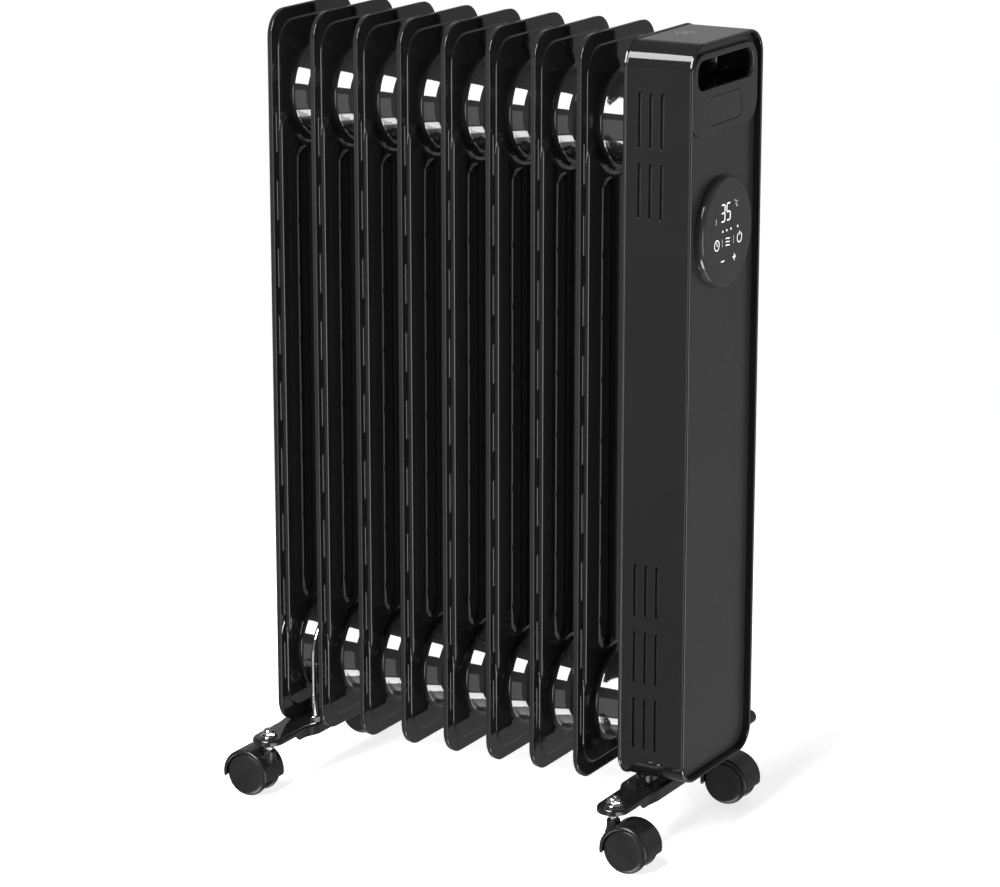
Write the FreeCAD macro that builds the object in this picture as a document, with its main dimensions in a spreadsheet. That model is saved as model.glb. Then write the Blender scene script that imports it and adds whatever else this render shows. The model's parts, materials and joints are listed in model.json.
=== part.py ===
import FreeCAD, Part
import math
import os
import Sketcher

# Oil filled column radiator on twin-wheel casters: eight pressed steel fins joined through two
# headers, with an upright control housing on the front end.
# +X points from the last fin to the control housing, +Y across, +Z up; the origin is the
# middle of the footprint on the floor.  All sizes are millimetres.

DIMENSIONS = {
    # Fin stack: the lip edge of fin 1, the spacing, and the outline of one fin
    "first_fin_x": -170.0,
    "fin_pitch": 38.65,
    "fin_width": 119.4,
    "fin_bottom": 50.0,
    "fin_top": 630.0,
    "fin_corner": 21.0,
    "lip_depth": 4.2,
    "lip_wall": 1.4,
    "sheet_pair": 1.4,
    "band_width": 9.5,
    "panel_rise": 1.0,
    "weld_plane": 3.5,
    # Oil channels and the two headers
    "header_low": 107.0,
    "header_high": 562.0,
    "boss_base": 38.0,
    "boss_shoulder": 32.0,
    "boss_neck": 30.0,
    "boss_taper": 7.0,
    "header_bore": 27.0,
    "header_wall": 2.0,
    "end_cap_depth": 10.0,
    "stud_radius": 4.0,
    "stud_length": 14.0,
    "channel_half_depth": 4.5,
    "channel_wall": 0.8,
    "side_channel_y": 40.0,
    "side_channel_width": 23.0,
    "centre_channel_width": 18.0,
    "gallery_radius": 34.0,
    # Control housing
    "housing_back": 139.5,
    "housing_front": 195.8,
    "housing_width": 118.4,
    "housing_bottom": 61.3,
    "housing_top": 629.2,
    "housing_corner": 20.0,
    "housing_wall": 2.5,
    "bead_rise": 0.8,
    "bead_length": 2.5,
    "panel_front": 190.3,
    "panel_thickness": 2.5,
    "panel_gap": 0.3,
    # Vent slots in the housing's sides
    "vent_x": 153.0,
    "vent_pitch": 9.2,
    "vent_width": 2.6,
    "vent_height": 41.4,
    # Handle, badge and touch disc
    "surround_thickness": 3.7,
    "surround_width": 108.0,
    "surround_bottom": 559.5,
    "surround_top": 621.0,
    "surround_corner": 18.0,
    "grip_width": 92.0,
    "grip_low": 594.0,
    "grip_high": 616.0,
    "grip_corner": 9.0,
    "pocket_wall": 2.0,
    "pocket_depth": 30.0,
    "badge_width": 53.0,
    "badge_height": 21.5,
    "badge_z": 576.75,
    "badge_corner": 6.0,
    "badge_recess": 1.2,
    "disc_radius": 42.5,
    "disc_z": 483.0,
    "disc_height": 7.0,
    "disc_wall": 2.5,
    # Foot brackets
    "rear_stem_x": -161.8,
    "front_stem_x": 150.6,
    "stem_y": 86.0,
    "bracket_bottom": 40.5,
    "bracket_tip_bottom": 45.0,
    "bracket_top": 50.0,
    "bracket_sheet": 2.0,
    "bracket_tip_width": 26.0,
    "bracket_length": 198.0,
    "bracket_deep_length": 128.0,
    "bracket_mid_width": 48.0,
    "bracket_mid_length": 104.0,
    "tie_offset": 12.3,
    "tie_y": 37.0,
    "tie_rod": 2.2,
    # Casters
    "trail": 15.0,
    "axle_z": 18.4,
    "wheel_radius": 18.4,
    "wheel_inner": 6.5,
    "wheel_outer": 13.8,
    "hood_radius": 20.5,
    "hood_wall": 1.5,
    "hood_half_width": 14.0,
    "web_half_width": 6.0,
    "skirt_drop": 4.3,
    "socket_radius": 5.3,
    "socket_top": 38.5,
    "stem_radius": 3.0,
    "stem_bottom": 22.0,
    "stem_top": 55.0,
    "axle_radius": 2.5,
    "running_gap": 0.05,
    # Heating element in the lower header
    "plug_radius": 21.0,
    "plug_depth": 14.0,
    "hex_radius": 27.0,
    "hex_height": 8.5,
    "gasket": 1.5,
    "element_rod": 4.0,
    "element_spread": 9.0,
    "element_end": -150.0,
    # Electrical parts inside the housing
    "board_x": 152.0,
    "board_z": 330.0,
    "board_sheet": 1.6,
    "switch_y": -43.0,
    "switch_z": 150.0,
    "switch_height": 34.0,
    "pendulum_drop": 17.0,
    "gland_x": 182.0,
    "gland_z": 74.0,
    "gland_bore": 3.7,
    "gland_end": 86.0,
}

FIN_COUNT = 8
VENT_COLUMNS = 3
# Middle height of each row of vent slots
VENT_ROWS = (108.2, 161.0, 214.0, 520.2, 572.5)
FLAT_SPOT = 0.1

doc = FreeCAD.newDocument("oil_filled_radiator")
sheet = doc.addObject("Spreadsheet::Sheet", "dims")
for row, (alias, number) in enumerate(DIMENSIONS.items(), start=1):
    sheet.set(f"A{row}", alias)
    sheet.set(f"B{row}", str(number))
    sheet.setAlias(f"B{row}", alias)
doc.recompute()

nodes = {}


# ---------------------------------------------------------------- shared building functions

def register(shape_object, label):
    """Give a finished sub-part the name of its node."""
    shape_object.Label = label
    nodes[label] = shape_object
    return shape_object


def place(thing, x="0", y="0", z="0"):
    """Bind the position of an object to three expressions."""
    for axis, expression in zip("xyz", (x, y, z)):
        thing.setExpression(f"Placement.Base.{axis}", expression)


def new_body(label, x="0", y="0", z="0"):
    body = doc.addObject("PartDesign::Body", label)
    place(body, x, y, z)
    return register(body, label)


def new_sketch(body, name, plane, shift_x="0", shift_y="0", shift_z="0"):
    """A sketch on one of its own body's origin planes, moved by offsets in the sketch's axes."""
    sketch = body.newObject("Sketcher::SketchObject", name)
    origin_plane = next(item for item in body.Origin.OriginFeatures if item.Role == plane)
    sketch.AttachmentSupport = [(origin_plane, "")]
    sketch.MapMode = "FlatFace"
    for axis, expression in zip("xyz", (shift_x, shift_y, shift_z)):
        sketch.setExpression(f".AttachmentOffset.Base.{axis}", expression)
    return sketch


def bind(sketch, kind, references, name, expression):
    """Add a driving constraint whose value comes from an expression."""
    value = sketch.evalExpression(expression)
    index = sketch.addConstraint(Sketcher.Constraint(kind, *references, float(value)))
    sketch.renameConstraint(index, name)
    sketch.setExpression(f"Constraints.{name}", expression)


def add_rounded_rectangle(sketch, tag, width, height, radius, x="0", y="0"):
    """A rectangle with four equal corner arcs, centred on (x, y)."""
    half_w, half_h = sketch.evalExpression(width) / 2, sketch.evalExpression(height) / 2
    corner = sketch.evalExpression(radius)
    cx, cy = sketch.evalExpression(x), sketch.evalExpression(y)
    first = sketch.GeometryCount
    arc_x, arc_y = half_w - corner, half_h - corner

    def line(x0, y0, x1, y1):
        start, end = FreeCAD.Vector(cx + x0, cy + y0, 0), FreeCAD.Vector(cx + x1, cy + y1, 0)
        sketch.addGeometry(Part.LineSegment(start, end), False)

    line(-arc_x, -half_h, arc_x, -half_h)
    line(half_w, -arc_y, half_w, arc_y)
    line(arc_x, half_h, -arc_x, half_h)
    line(-half_w, arc_y, -half_w, -arc_y)
    for quarter, (side_x, side_y) in enumerate(((1, -1), (1, 1), (-1, 1), (-1, -1))):
        centre = FreeCAD.Vector(cx + side_x * arc_x, cy + side_y * arc_y, 0)
        circle = Part.Circle(centre, FreeCAD.Vector(0, 0, 1), corner)
        start = (quarter - 1) * math.pi / 2
        sketch.addGeometry(Part.ArcOfCircle(circle, start, start + math.pi / 2), False)
    for side in range(4):
        next_side = first + (side + 1) % 4
        arc = first + 4 + side
        sketch.addConstraint(Sketcher.Constraint("Tangent", first + side, 2, arc, 1))
        sketch.addConstraint(Sketcher.Constraint("Tangent", arc, 2, next_side, 1))
        level = "Vertical" if side % 2 else "Horizontal"
        sketch.addConstraint(Sketcher.Constraint(level, first + side))
    for arc in range(first + 5, first + 8):
        sketch.addConstraint(Sketcher.Constraint("Equal", first + 4, arc))
    bind(sketch, "Radius", (first + 4,), f"{tag}_radius", radius)
    bind(sketch, "DistanceX", (first + 3, 1, first + 1, 1), f"{tag}_width", width)
    bind(sketch, "DistanceY", (first, 1, first + 2, 1), f"{tag}_height", height)
    bind(sketch, "DistanceX", (-1, 1, first + 1, 1), f"{tag}_x", f"({x}) + ({width}) / 2")
    bind(sketch, "DistanceY", (-1, 1, first + 2, 1), f"{tag}_y", f"({y}) + ({height}) / 2")


def add_circle(sketch, tag, radius, x="0", y="0"):
    centre = FreeCAD.Vector(sketch.evalExpression(x), sketch.evalExpression(y), 0)
    circle = Part.Circle(centre, FreeCAD.Vector(0, 0, 1), sketch.evalExpression(radius))
    index = sketch.addGeometry(circle, False)
    bind(sketch, "Radius", (index,), f"{tag}_radius", radius)
    bind(sketch, "DistanceX", (-1, 1, index, 3), f"{tag}_x", x)
    bind(sketch, "DistanceY", (-1, 1, index, 3), f"{tag}_y", y)


def add_polygon(sketch, tag, corners):
    """A closed outline through corners, each an (x, y) pair of expressions."""
    points = [
        FreeCAD.Vector(sketch.evalExpression(x), sketch.evalExpression(y), 0)
        for x, y in corners
    ]
    count = len(points)
    first = sketch.GeometryCount
    for index in range(count):
        sketch.addGeometry(Part.LineSegment(points[index], points[(index + 1) % count]), False)
    for index in range(count):
        after = first + (index + 1) % count
        sketch.addConstraint(Sketcher.Constraint("Coincident", first + index, 2, after, 1))
    for index, (x, y) in enumerate(corners):
        bind(sketch, "DistanceX", (-1, 1, first + index, 1), f"{tag}_x{index}", x)
        bind(sketch, "DistanceY", (-1, 1, first + index, 1), f"{tag}_y{index}", y)


def pad(body, name, sketch, length, symmetric=False):
    feature = body.newObject("PartDesign::Pad", name)
    feature.Profile = sketch
    feature.SideType = "Symmetric" if symmetric else "One side"
    feature.setExpression("Length", length)
    doc.recompute()
    return feature


def pocket(body, name, sketch, length, symmetric=False, along_normal=True):
    """Cut a sketch out of the body, by default in the direction of the sketch's own normal."""
    before = body.Shape.Volume
    feature = body.newObject("PartDesign::Pocket", name)
    feature.Profile = sketch
    feature.SideType = "Symmetric" if symmetric else "One side"
    feature.Reversed = along_normal
    feature.setExpression("Length", length)
    doc.recompute()
    if not body.Shape.Volume < before:
        raise RuntimeError(f"{body.Label}: {name} cuts nothing")
    return feature


def turn(body, name, sketch, axis, kind="PartDesign::Revolution"):
    """Revolve a sketch a full turn about its own horizontal or vertical axis."""
    feature = body.newObject(kind, name)
    feature.Profile = sketch
    feature.ReferenceAxis = (sketch, [axis])
    feature.Angle = 360
    doc.recompute()
    return feature


AXIS_ROTATION = {
    "x": FreeCAD.Rotation(FreeCAD.Vector(0, 1, 0), 90),
    "y": FreeCAD.Rotation(FreeCAD.Vector(1, 0, 0), -90),
    "z": FreeCAD.Rotation(),
}


def cylinder(name, radius, length, axis, x, y, z):
    """A cylinder that starts at (x, y, z) and runs towards +axis."""
    solid = doc.addObject("Part::Cylinder", name)
    solid.setExpression("Radius", radius)
    solid.setExpression("Height", length)
    solid.Placement = FreeCAD.Placement(FreeCAD.Vector(), AXIS_ROTATION[axis])
    place(solid, x, y, z)
    return solid


def block(name, lengths, x, y, z):
    """A box with the given lengths, centred on (x, y, z)."""
    solid = doc.addObject("Part::Box", name)
    for side, length in zip(("Length", "Width", "Height"), lengths):
        solid.setExpression(side, length)
    corner = [f"({centre}) - ({length}) / 2" for centre, length in zip((x, y, z), lengths)]
    place(solid, *corner)
    return solid


def prism(name, circumradius, length, axis, x, y, z):
    """A hexagonal prism that starts at (x, y, z) and runs towards +axis."""
    solid = doc.addObject("Part::Prism", name)
    solid.Polygon = 6
    solid.setExpression("Circumradius", circumradius)
    solid.setExpression("Height", length)
    solid.Placement = FreeCAD.Placement(FreeCAD.Vector(), AXIS_ROTATION[axis])
    place(solid, x, y, z)
    return solid


def cut(name, base, tool):
    result = doc.addObject("Part::Cut", name)
    result.Base = base
    result.Tool = tool
    return result


def fuse(name, *shapes):
    result = doc.addObject("Part::MultiFuse", name)
    result.Shapes = list(shapes)
    result.Refine = True
    return result


def group(label, solids):
    """Identical pieces that share a node stay separate solids."""
    result = doc.addObject("Part::Compound", label)
    result.Links = list(solids)
    return register(result, label)


# ------------------------------------------------------------------------------------- fins

def header_boss(body, name, height, rear_reach, front_reach):
    """The dished boss, turned about the header's axis, that meets the next fin's boss."""
    outline = new_sketch(body, f"{name}_outline", "XZ_Plane", "dims.weld_plane", height)
    half_sheet = "dims.sheet_pair / 2"
    add_polygon(outline, "boss", (
        (f"-({rear_reach})", "0"),
        (front_reach, "0"),
        (front_reach, "dims.boss_neck"),
        ("dims.boss_taper", "dims.boss_shoulder"),
        (half_sheet, "dims.boss_base"),
        (f"-{half_sheet}", "dims.boss_base"),
        ("-dims.boss_taper", "dims.boss_shoulder"),
        (f"-({rear_reach})", "dims.boss_neck"),
    ))
    turn(body, name, outline, "H_Axis")


def header_cavity(body, name, height, rear_end, front_end):
    """The oil space of one header inside one fin, with the wider gallery that feeds the channels."""
    outline = new_sketch(body, f"{name}_outline", "XZ_Plane", "dims.weld_plane", height)
    gallery_half = "dims.channel_half_depth - dims.channel_wall"
    add_polygon(outline, "bore", (
        (rear_end, "0"),
        (front_end, "0"),
        (front_end, "dims.header_bore"),
        (gallery_half, "dims.header_bore"),
        (gallery_half, "dims.gallery_radius"),
        (f"-({gallery_half})", "dims.gallery_radius"),
        (f"-({gallery_half})", "dims.header_bore"),
        (rear_end, "dims.header_bore"),
    ))
    turn(body, name, outline, "H_Axis", "PartDesign::Groove")


def add_channels(sketch, inset, height):
    """Three vertical oil channels between the header centres."""
    middle = "(dims.header_low + dims.header_high) / 2"
    side_width = f"dims.side_channel_width - 2 * {inset}"
    centre_width = f"dims.centre_channel_width - 2 * {inset}"
    side_radius = f"({side_width}) / 2 - {FLAT_SPOT}"
    centre_radius = f"({centre_width}) / 2 - {FLAT_SPOT}"
    add_rounded_rectangle(sketch, "left", side_width, height, side_radius,
                          "-dims.side_channel_y", middle)
    add_rounded_rectangle(sketch, "right", side_width, height, side_radius,
                          "dims.side_channel_y", middle)
    add_rounded_rectangle(sketch, "centre", centre_width, height, centre_radius, "0", middle)


def make_fin(number):
    """Two pressed sheets welded edge to edge, with a lip folded back and hollow oil ways."""
    first, last = number == 1, number == FIN_COUNT
    body = new_body(f"fin_{number}", f"dims.first_fin_x + {number - 1} * dims.fin_pitch")
    height = "dims.fin_top - dims.fin_bottom"
    middle = "(dims.fin_top + dims.fin_bottom) / 2"

    rim = new_sketch(body, "rim_outline", "YZ_Plane")
    add_rounded_rectangle(rim, "rim", "dims.fin_width", height, "dims.fin_corner", "0", middle)
    pad(body, "rim", rim, "dims.lip_depth")
    back = new_sketch(body, "back_outline", "YZ_Plane")
    add_rounded_rectangle(back, "back", "dims.fin_width - 2 * dims.lip_wall",
                          f"{height} - 2 * dims.lip_wall", "dims.fin_corner - dims.lip_wall",
                          "0", middle)
    pocket(body, "folded_lip", back, "dims.lip_depth - dims.sheet_pair")
    face = new_sketch(body, "face_outline", "YZ_Plane", shift_z="dims.lip_depth")
    add_rounded_rectangle(face, "face", "dims.fin_width - 2 * dims.band_width",
                          f"{height} - 2 * dims.band_width", "dims.fin_corner", "0", middle)
    pad(body, "raised_face", face, "dims.panel_rise")

    ways = new_sketch(body, "channel_outline", "YZ_Plane", shift_z="dims.weld_plane")
    add_channels(ways, "0", "dims.header_high - dims.header_low")
    pad(body, "channels", ways, "2 * dims.channel_half_depth", symmetric=True)

    rear_reach = "dims.end_cap_depth" if first else "dims.fin_pitch / 2"
    front_reach = "dims.fin_pitch / 2"
    if last:
        front_reach = (f"dims.housing_back - dims.first_fin_x - {FIN_COUNT - 1} * dims.fin_pitch"
                       " - dims.weld_plane")
    header_boss(body, "lower_boss", "dims.header_low", rear_reach, front_reach)
    header_boss(body, "upper_boss", "dims.header_high", rear_reach, front_reach)

    rear_end = f"-({rear_reach}) + dims.header_wall" if first else f"-({rear_reach})"
    front_end = f"{front_reach} - dims.header_wall" if last else front_reach
    header_cavity(body, "lower_bore", "dims.header_low", rear_end, front_end)
    header_cavity(body, "upper_bore", "dims.header_high", rear_end, front_end)
    oil = new_sketch(body, "oil_outline", "YZ_Plane", shift_z="dims.weld_plane")
    add_channels(oil, "dims.channel_wall", "dims.header_high - dims.header_low")
    pocket(body, "oil_ways", oil, "2 * (dims.channel_half_depth - dims.channel_wall)",
           symmetric=True)
    if last:
        mouth = new_sketch(body, "mouth_outline", "YZ_Plane", shift_z="dims.weld_plane")
        add_circle(mouth, "mouth", "dims.plug_radius", "0", "dims.header_low")
        pocket(body, "element_mouth", mouth, front_reach)
        stud = new_sketch(body, "stud_outline", "YZ_Plane",
                          shift_z=f"dims.weld_plane + {front_reach} - dims.header_wall / 2")
        add_circle(stud, "stud", "dims.stud_radius", "0", "dims.header_high")
        pad(body, "welded_stud", stud, "dims.stud_length + dims.header_wall / 2")
    return body


for fin_number in range(1, FIN_COUNT + 1):
    make_fin(fin_number)

fill_plug = fuse(
    "fill_plug",
    cylinder("fill_plug_shank", "7", "dims.header_wall", "x",
             "dims.first_fin_x + dims.weld_plane - dims.end_cap_depth", "0", "dims.header_high"),
    prism("fill_plug_head", "10", "5", "x",
          "dims.first_fin_x + dims.weld_plane - dims.end_cap_depth - 5", "0",
          "dims.header_high"),
)
register(fill_plug, "fill_plug")
fill_hole = new_sketch(nodes["fin_1"], "fill_hole_outline", "YZ_Plane", shift_z="dims.weld_plane")
add_circle(fill_hole, "fill_hole", "7", "0", "dims.header_high")
pocket(nodes["fin_1"], "fill_hole", fill_hole, "dims.end_cap_depth", along_normal=False)


# --------------------------------------------------------------- heating element and its plug

element_legs = []
for tube, drop in enumerate((-1, 1)):
    level = f"dims.header_low + {drop} * dims.element_spread"
    start = "dims.housing_back - dims.plug_depth"
    legs = [
        cylinder(f"element_leg_{tube}_{side}", "dims.element_rod",
                 f"{start} - dims.element_end", "x", "dims.element_end",
                 f"{side} * dims.element_spread", level)
        for side in (-1, 1)
    ]
    bend = doc.addObject("Part::Torus", f"element_bend_{tube}")
    bend.setExpression("Radius1", "dims.element_spread")
    bend.setExpression("Radius2", "dims.element_rod")
    bend.Angle3 = 180
    bend.Placement = FreeCAD.Placement(FreeCAD.Vector(),
                                       FreeCAD.Rotation(FreeCAD.Vector(0, 0, 1), 90))
    place(bend, "dims.element_end", "0", level)
    element_legs.append(fuse(f"element_tube_{tube}", bend, *legs))
group("heating_element", element_legs)

hex_back = "dims.housing_back + dims.housing_wall + dims.gasket"
register(fuse(
    "element_plug",
    cylinder("plug_thread", "dims.plug_radius", f"{hex_back} - dims.housing_back + dims.plug_depth",
             "x", "dims.housing_back - dims.plug_depth", "0", "dims.header_low"),
    prism("plug_hex", "dims.hex_radius", "dims.hex_height", "x", hex_back, "0",
          "dims.header_low"),
), "element_plug")
register(cut(
    "element_gasket",
    cylinder("gasket_outer", "dims.hex_radius - 3", "dims.gasket", "x",
             "dims.housing_back + dims.housing_wall", "0", "dims.header_low"),
    cylinder("gasket_inner", "dims.plug_radius", "dims.gasket", "x",
             "dims.housing_back + dims.housing_wall", "0", "dims.header_low"),
), "element_gasket")
group("element_terminals", [
    cylinder(f"terminal_{drop}_{side}", "2.2", "9", "x", f"{hex_back} + dims.hex_height",
             f"{side} * dims.element_spread", f"dims.header_low + {drop} * dims.element_spread")
    for drop in (-1, 1) for side in (-1, 1)
])


# --------------------------------------------------------------------------- control housing

housing_height = "dims.housing_top - dims.housing_bottom"
housing_middle = "(dims.housing_top + dims.housing_bottom) / 2"
front_bracket_y = ("-35", "35")
corner_posts = [(side, level) for side in ("-46", "46") for level in ("132", "545")]
board_corners = [(side, f"dims.board_z + {rise}") for side in ("-34", "34")
                 for rise in ("-69", "69")]


def make_housing_shell():
    """A deep moulded tray, open at the front, with a bead round its back edge."""
    body = new_body("housing_shell", "dims.housing_back")
    outline = new_sketch(body, "shell_outline", "YZ_Plane")
    add_rounded_rectangle(outline, "shell", "dims.housing_width", housing_height,
                          "dims.housing_corner", "0", housing_middle)
    pad(body, "shell", outline, "dims.housing_front - dims.housing_back")
    bead = new_sketch(body, "bead_outline", "YZ_Plane")
    add_rounded_rectangle(bead, "bead", "dims.housing_width + 2 * dims.bead_rise",
                          f"{housing_height} + 2 * dims.bead_rise",
                          "dims.housing_corner + dims.bead_rise", "0", housing_middle)
    pad(body, "rear_bead", bead, "dims.bead_length")
    legs = new_sketch(body, "leg_outline", "XY_Plane", shift_z="dims.bracket_top")
    for index, side in enumerate(front_bracket_y):
        add_circle(legs, f"leg_{index}", "6.5", "dims.front_stem_x - dims.housing_back", side)
    pad(body, "bracket_bosses", legs,
        "dims.housing_bottom + 2 * dims.housing_wall - dims.bracket_top")

    inside = new_sketch(body, "inside_outline", "YZ_Plane", shift_z="dims.housing_wall")
    add_rounded_rectangle(inside, "inside", "dims.housing_width - 2 * dims.housing_wall",
                          f"{housing_height} - 2 * dims.housing_wall",
                          "dims.housing_corner - dims.housing_wall", "0", housing_middle)
    pocket(body, "inside", inside, "dims.housing_front - dims.housing_back")

    slots = new_sketch(body, "vent_outline", "XZ_Plane")
    for row, middle in enumerate(VENT_ROWS):
        for column in range(VENT_COLUMNS):
            add_rounded_rectangle(
                slots, f"vent_{row}_{column}", "dims.vent_width", "dims.vent_height",
                f"dims.vent_width / 2 - {FLAT_SPOT}",
                f"dims.vent_x - dims.housing_back + {column} * dims.vent_pitch", str(middle))
    pocket(body, "vents", slots, "2 * dims.housing_width", symmetric=True)

    posts = new_sketch(body, "post_outline", "YZ_Plane")
    for index, (side, level) in enumerate(corner_posts):
        add_circle(posts, f"post_{index}", "4.5", side, level)
    pad(body, "screw_posts", posts, "dims.panel_front - dims.housing_back - 10")
    standoffs = new_sketch(body, "standoff_outline", "YZ_Plane")
    for index, (side, level) in enumerate(board_corners):
        add_circle(standoffs, f"standoff_{index}", "3", side, level)
    pad(body, "board_standoffs", standoffs, "dims.board_x - dims.housing_back")
    holes = new_sketch(body, "hole_outline", "YZ_Plane")
    for index, (side, level) in enumerate(corner_posts):
        add_circle(holes, f"hole_{index}", "1.7", side, level)
    add_circle(holes, "element_hole", "dims.plug_radius", "0", "dims.header_low")
    add_circle(holes, "stud_hole", "4.2", "0", "dims.header_high")
    pocket(body, "back_holes", holes, "dims.housing_front - dims.housing_back")
    screw_holes = new_sketch(body, "screw_hole_outline", "XY_Plane", shift_z="dims.bracket_top")
    for index, side in enumerate(front_bracket_y):
        add_circle(screw_holes, f"screw_hole_{index}", "2.1",
                   "dims.front_stem_x - dims.housing_back", side)
    pocket(body, "bracket_screw_holes", screw_holes, "12")
    gland_hole = new_sketch(body, "gland_hole_outline", "XZ_Plane")
    add_circle(gland_hole, "gland_hole", "5.5", "dims.gland_x - dims.housing_back",
               "dims.gland_z")
    pocket(body, "gland_hole", gland_hole, "dims.housing_width", along_normal=False)


def make_front_panel():
    """The flat front plate, set back inside the tray's rim."""
    body = new_body("front_panel", "dims.panel_front - dims.panel_thickness")
    edge = "(dims.housing_wall + dims.panel_gap)"
    outline = new_sketch(body, "plate_outline", "YZ_Plane")
    add_rounded_rectangle(outline, "plate", f"dims.housing_width - 2 * {edge}",
                          f"{housing_height} - 2 * {edge}", f"dims.housing_corner - {edge}",
                          "0", housing_middle)
    pad(body, "plate", outline, "dims.panel_thickness")
    bosses = new_sketch(body, "boss_outline", "YZ_Plane")
    for index, (side, level) in enumerate(corner_posts):
        add_circle(bosses, f"boss_{index}", "4.5", side, level)
    raised = pad(body, "screw_bosses", bosses, "10 - dims.panel_thickness")
    raised.Reversed = True
    openings = new_sketch(body, "opening_outline", "YZ_Plane")
    rim = "2 * (dims.pocket_wall + dims.panel_gap)"
    add_rounded_rectangle(openings, "pocket_hole", f"dims.grip_width + {rim}",
                          f"dims.grip_high - dims.grip_low + {rim}",
                          "dims.grip_corner + dims.pocket_wall + dims.panel_gap", "0",
                          "(dims.grip_high + dims.grip_low) / 2")
    add_circle(openings, "disc_hole", "25", "0", "dims.disc_z")
    pocket(body, "openings", openings, "dims.panel_thickness")
    pilots = new_sketch(body, "pilot_outline", "YZ_Plane",
                        shift_z="dims.panel_thickness - 10")
    for index, (side, level) in enumerate(corner_posts):
        add_circle(pilots, f"pilot_{index}", "1.5", side, level)
    pocket(body, "pilot_holes", pilots, "7")


def make_handle_surround():
    """The raised plate whose top edge is the grip bar and which frames the badge."""
    body = new_body("handle_surround", "dims.panel_front")
    outline = new_sketch(body, "surround_outline", "YZ_Plane")
    add_rounded_rectangle(outline, "surround", "dims.surround_width",
                          "dims.surround_top - dims.surround_bottom", "dims.surround_corner",
                          "0", "(dims.surround_top + dims.surround_bottom) / 2")
    pad(body, "surround", outline, "dims.surround_thickness")
    grip = new_sketch(body, "grip_outline", "YZ_Plane")
    add_rounded_rectangle(grip, "grip", "dims.grip_width", "dims.grip_high - dims.grip_low",
                          "dims.grip_corner", "0", "(dims.grip_high + dims.grip_low) / 2")
    pocket(body, "grip_opening", grip, "dims.surround_thickness")
    badge = new_sketch(body, "badge_outline", "YZ_Plane",
                       shift_z="dims.surround_thickness - dims.badge_recess")
    add_rounded_rectangle(badge, "badge", "dims.badge_width", "dims.badge_height",
                          "dims.badge_corner", "0", "dims.badge_z")
    pocket(body, "badge_recess", badge, "dims.badge_recess")


def make_badge_plate():
    body = new_body("badge_plate",
                    "dims.panel_front + dims.surround_thickness - dims.badge_recess")
    outline = new_sketch(body, "badge_plate_outline", "YZ_Plane")
    gap = "2 * dims.panel_gap"
    add_rounded_rectangle(outline, "plate", f"dims.badge_width - {gap}",
                          f"dims.badge_height - {gap}", "dims.badge_corner - dims.panel_gap",
                          "0", "dims.badge_z")
    pad(body, "plate", outline, "dims.badge_recess - 0.2")


def make_handle_pocket():
    """The cup behind the grip bar that takes the fingers."""
    body = new_body("handle_pocket", "dims.panel_front - dims.pocket_depth")
    middle = "(dims.grip_high + dims.grip_low) / 2"
    outline = new_sketch(body, "cup_outline", "YZ_Plane")
    add_rounded_rectangle(outline, "cup", "dims.grip_width + 2 * dims.pocket_wall",
                          "dims.grip_high - dims.grip_low + 2 * dims.pocket_wall",
                          "dims.grip_corner + dims.pocket_wall", "0", middle)
    pad(body, "cup", outline, "dims.pocket_depth")
    hollow = new_sketch(body, "hollow_outline", "YZ_Plane", shift_z="dims.pocket_wall")
    add_rounded_rectangle(hollow, "hollow", "dims.grip_width", "dims.grip_high - dims.grip_low",
                          "dims.grip_corner", "0", middle)
    pocket(body, "hollow", hollow, "dims.pocket_depth")


def make_touch_lens():
    """A shallow round cap, turned about its own axis, with a softened front edge."""
    body = new_body("touch_lens", "dims.panel_front", "0", "dims.disc_z")
    outline = new_sketch(body, "lens_outline", "XZ_Plane")
    add_polygon(outline, "lens", (
        ("0", "dims.disc_radius - dims.disc_wall"),
        ("0", "dims.disc_radius"),
        ("dims.disc_height - 2", "dims.disc_radius"),
        ("dims.disc_height", "dims.disc_radius - 2"),
        ("dims.disc_height", "0"),
        ("dims.disc_height - dims.disc_wall", "0"),
        ("dims.disc_height - dims.disc_wall", "dims.disc_radius - dims.disc_wall"),
    ))
    turn(body, "lens", outline, "H_Axis")


make_housing_shell()
make_front_panel()
make_handle_surround()
make_badge_plate()
make_handle_pocket()
make_touch_lens()

register(cylinder("display_board", "dims.disc_radius - dims.disc_wall - 1", "1.6", "x",
                  "dims.panel_front + 0.2", "0", "dims.disc_z"), "display_board")
register(cylinder("display_diffuser", "dims.disc_radius - dims.disc_wall - 1", "2", "x",
                  "dims.panel_front + 2.2", "0", "dims.disc_z"), "display_diffuser")
group("panel_screws", [
    fuse(f"panel_screw_{index}",
         cylinder(f"screw_shank_{index}", "1.5",
                  "dims.panel_front - dims.housing_back - 4", "x",
                  "dims.housing_back", side, level),
         cylinder(f"screw_head_{index}", "3", "1.8", "x", "dims.housing_back - 1.8",
                  side, level))
    for index, (side, level) in enumerate(corner_posts)
])
stud_nut_back = "dims.housing_back + dims.housing_wall"
register(cut("housing_nut",
             prism("stud_nut_hex", "7.5", "6.5", "x", stud_nut_back, "0", "dims.header_high"),
             cylinder("stud_nut_bore", "dims.stud_radius", "6.5", "x", stud_nut_back, "0",
                      "dims.header_high")), "housing_nut")

gland_start = "dims.housing_width / 2 - 9"
register(cut(
    "cord_gland",
    fuse("gland_body",
         cylinder("gland_thread", "5.5", "dims.gland_end - (dims.housing_width / 2 - 9)", "y",
                  "dims.gland_x", gland_start, "dims.gland_z"),
         cylinder("gland_collar", "7.2", "4", "y", "dims.gland_x", "dims.housing_width / 2",
                  "dims.gland_z")),
    cylinder("gland_way", "dims.gland_bore", "60", "y", "dims.gland_x", gland_start,
             "dims.gland_z"),
), "cord_gland")


# ------------------------------------------------------------ electrical parts in the housing

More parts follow.
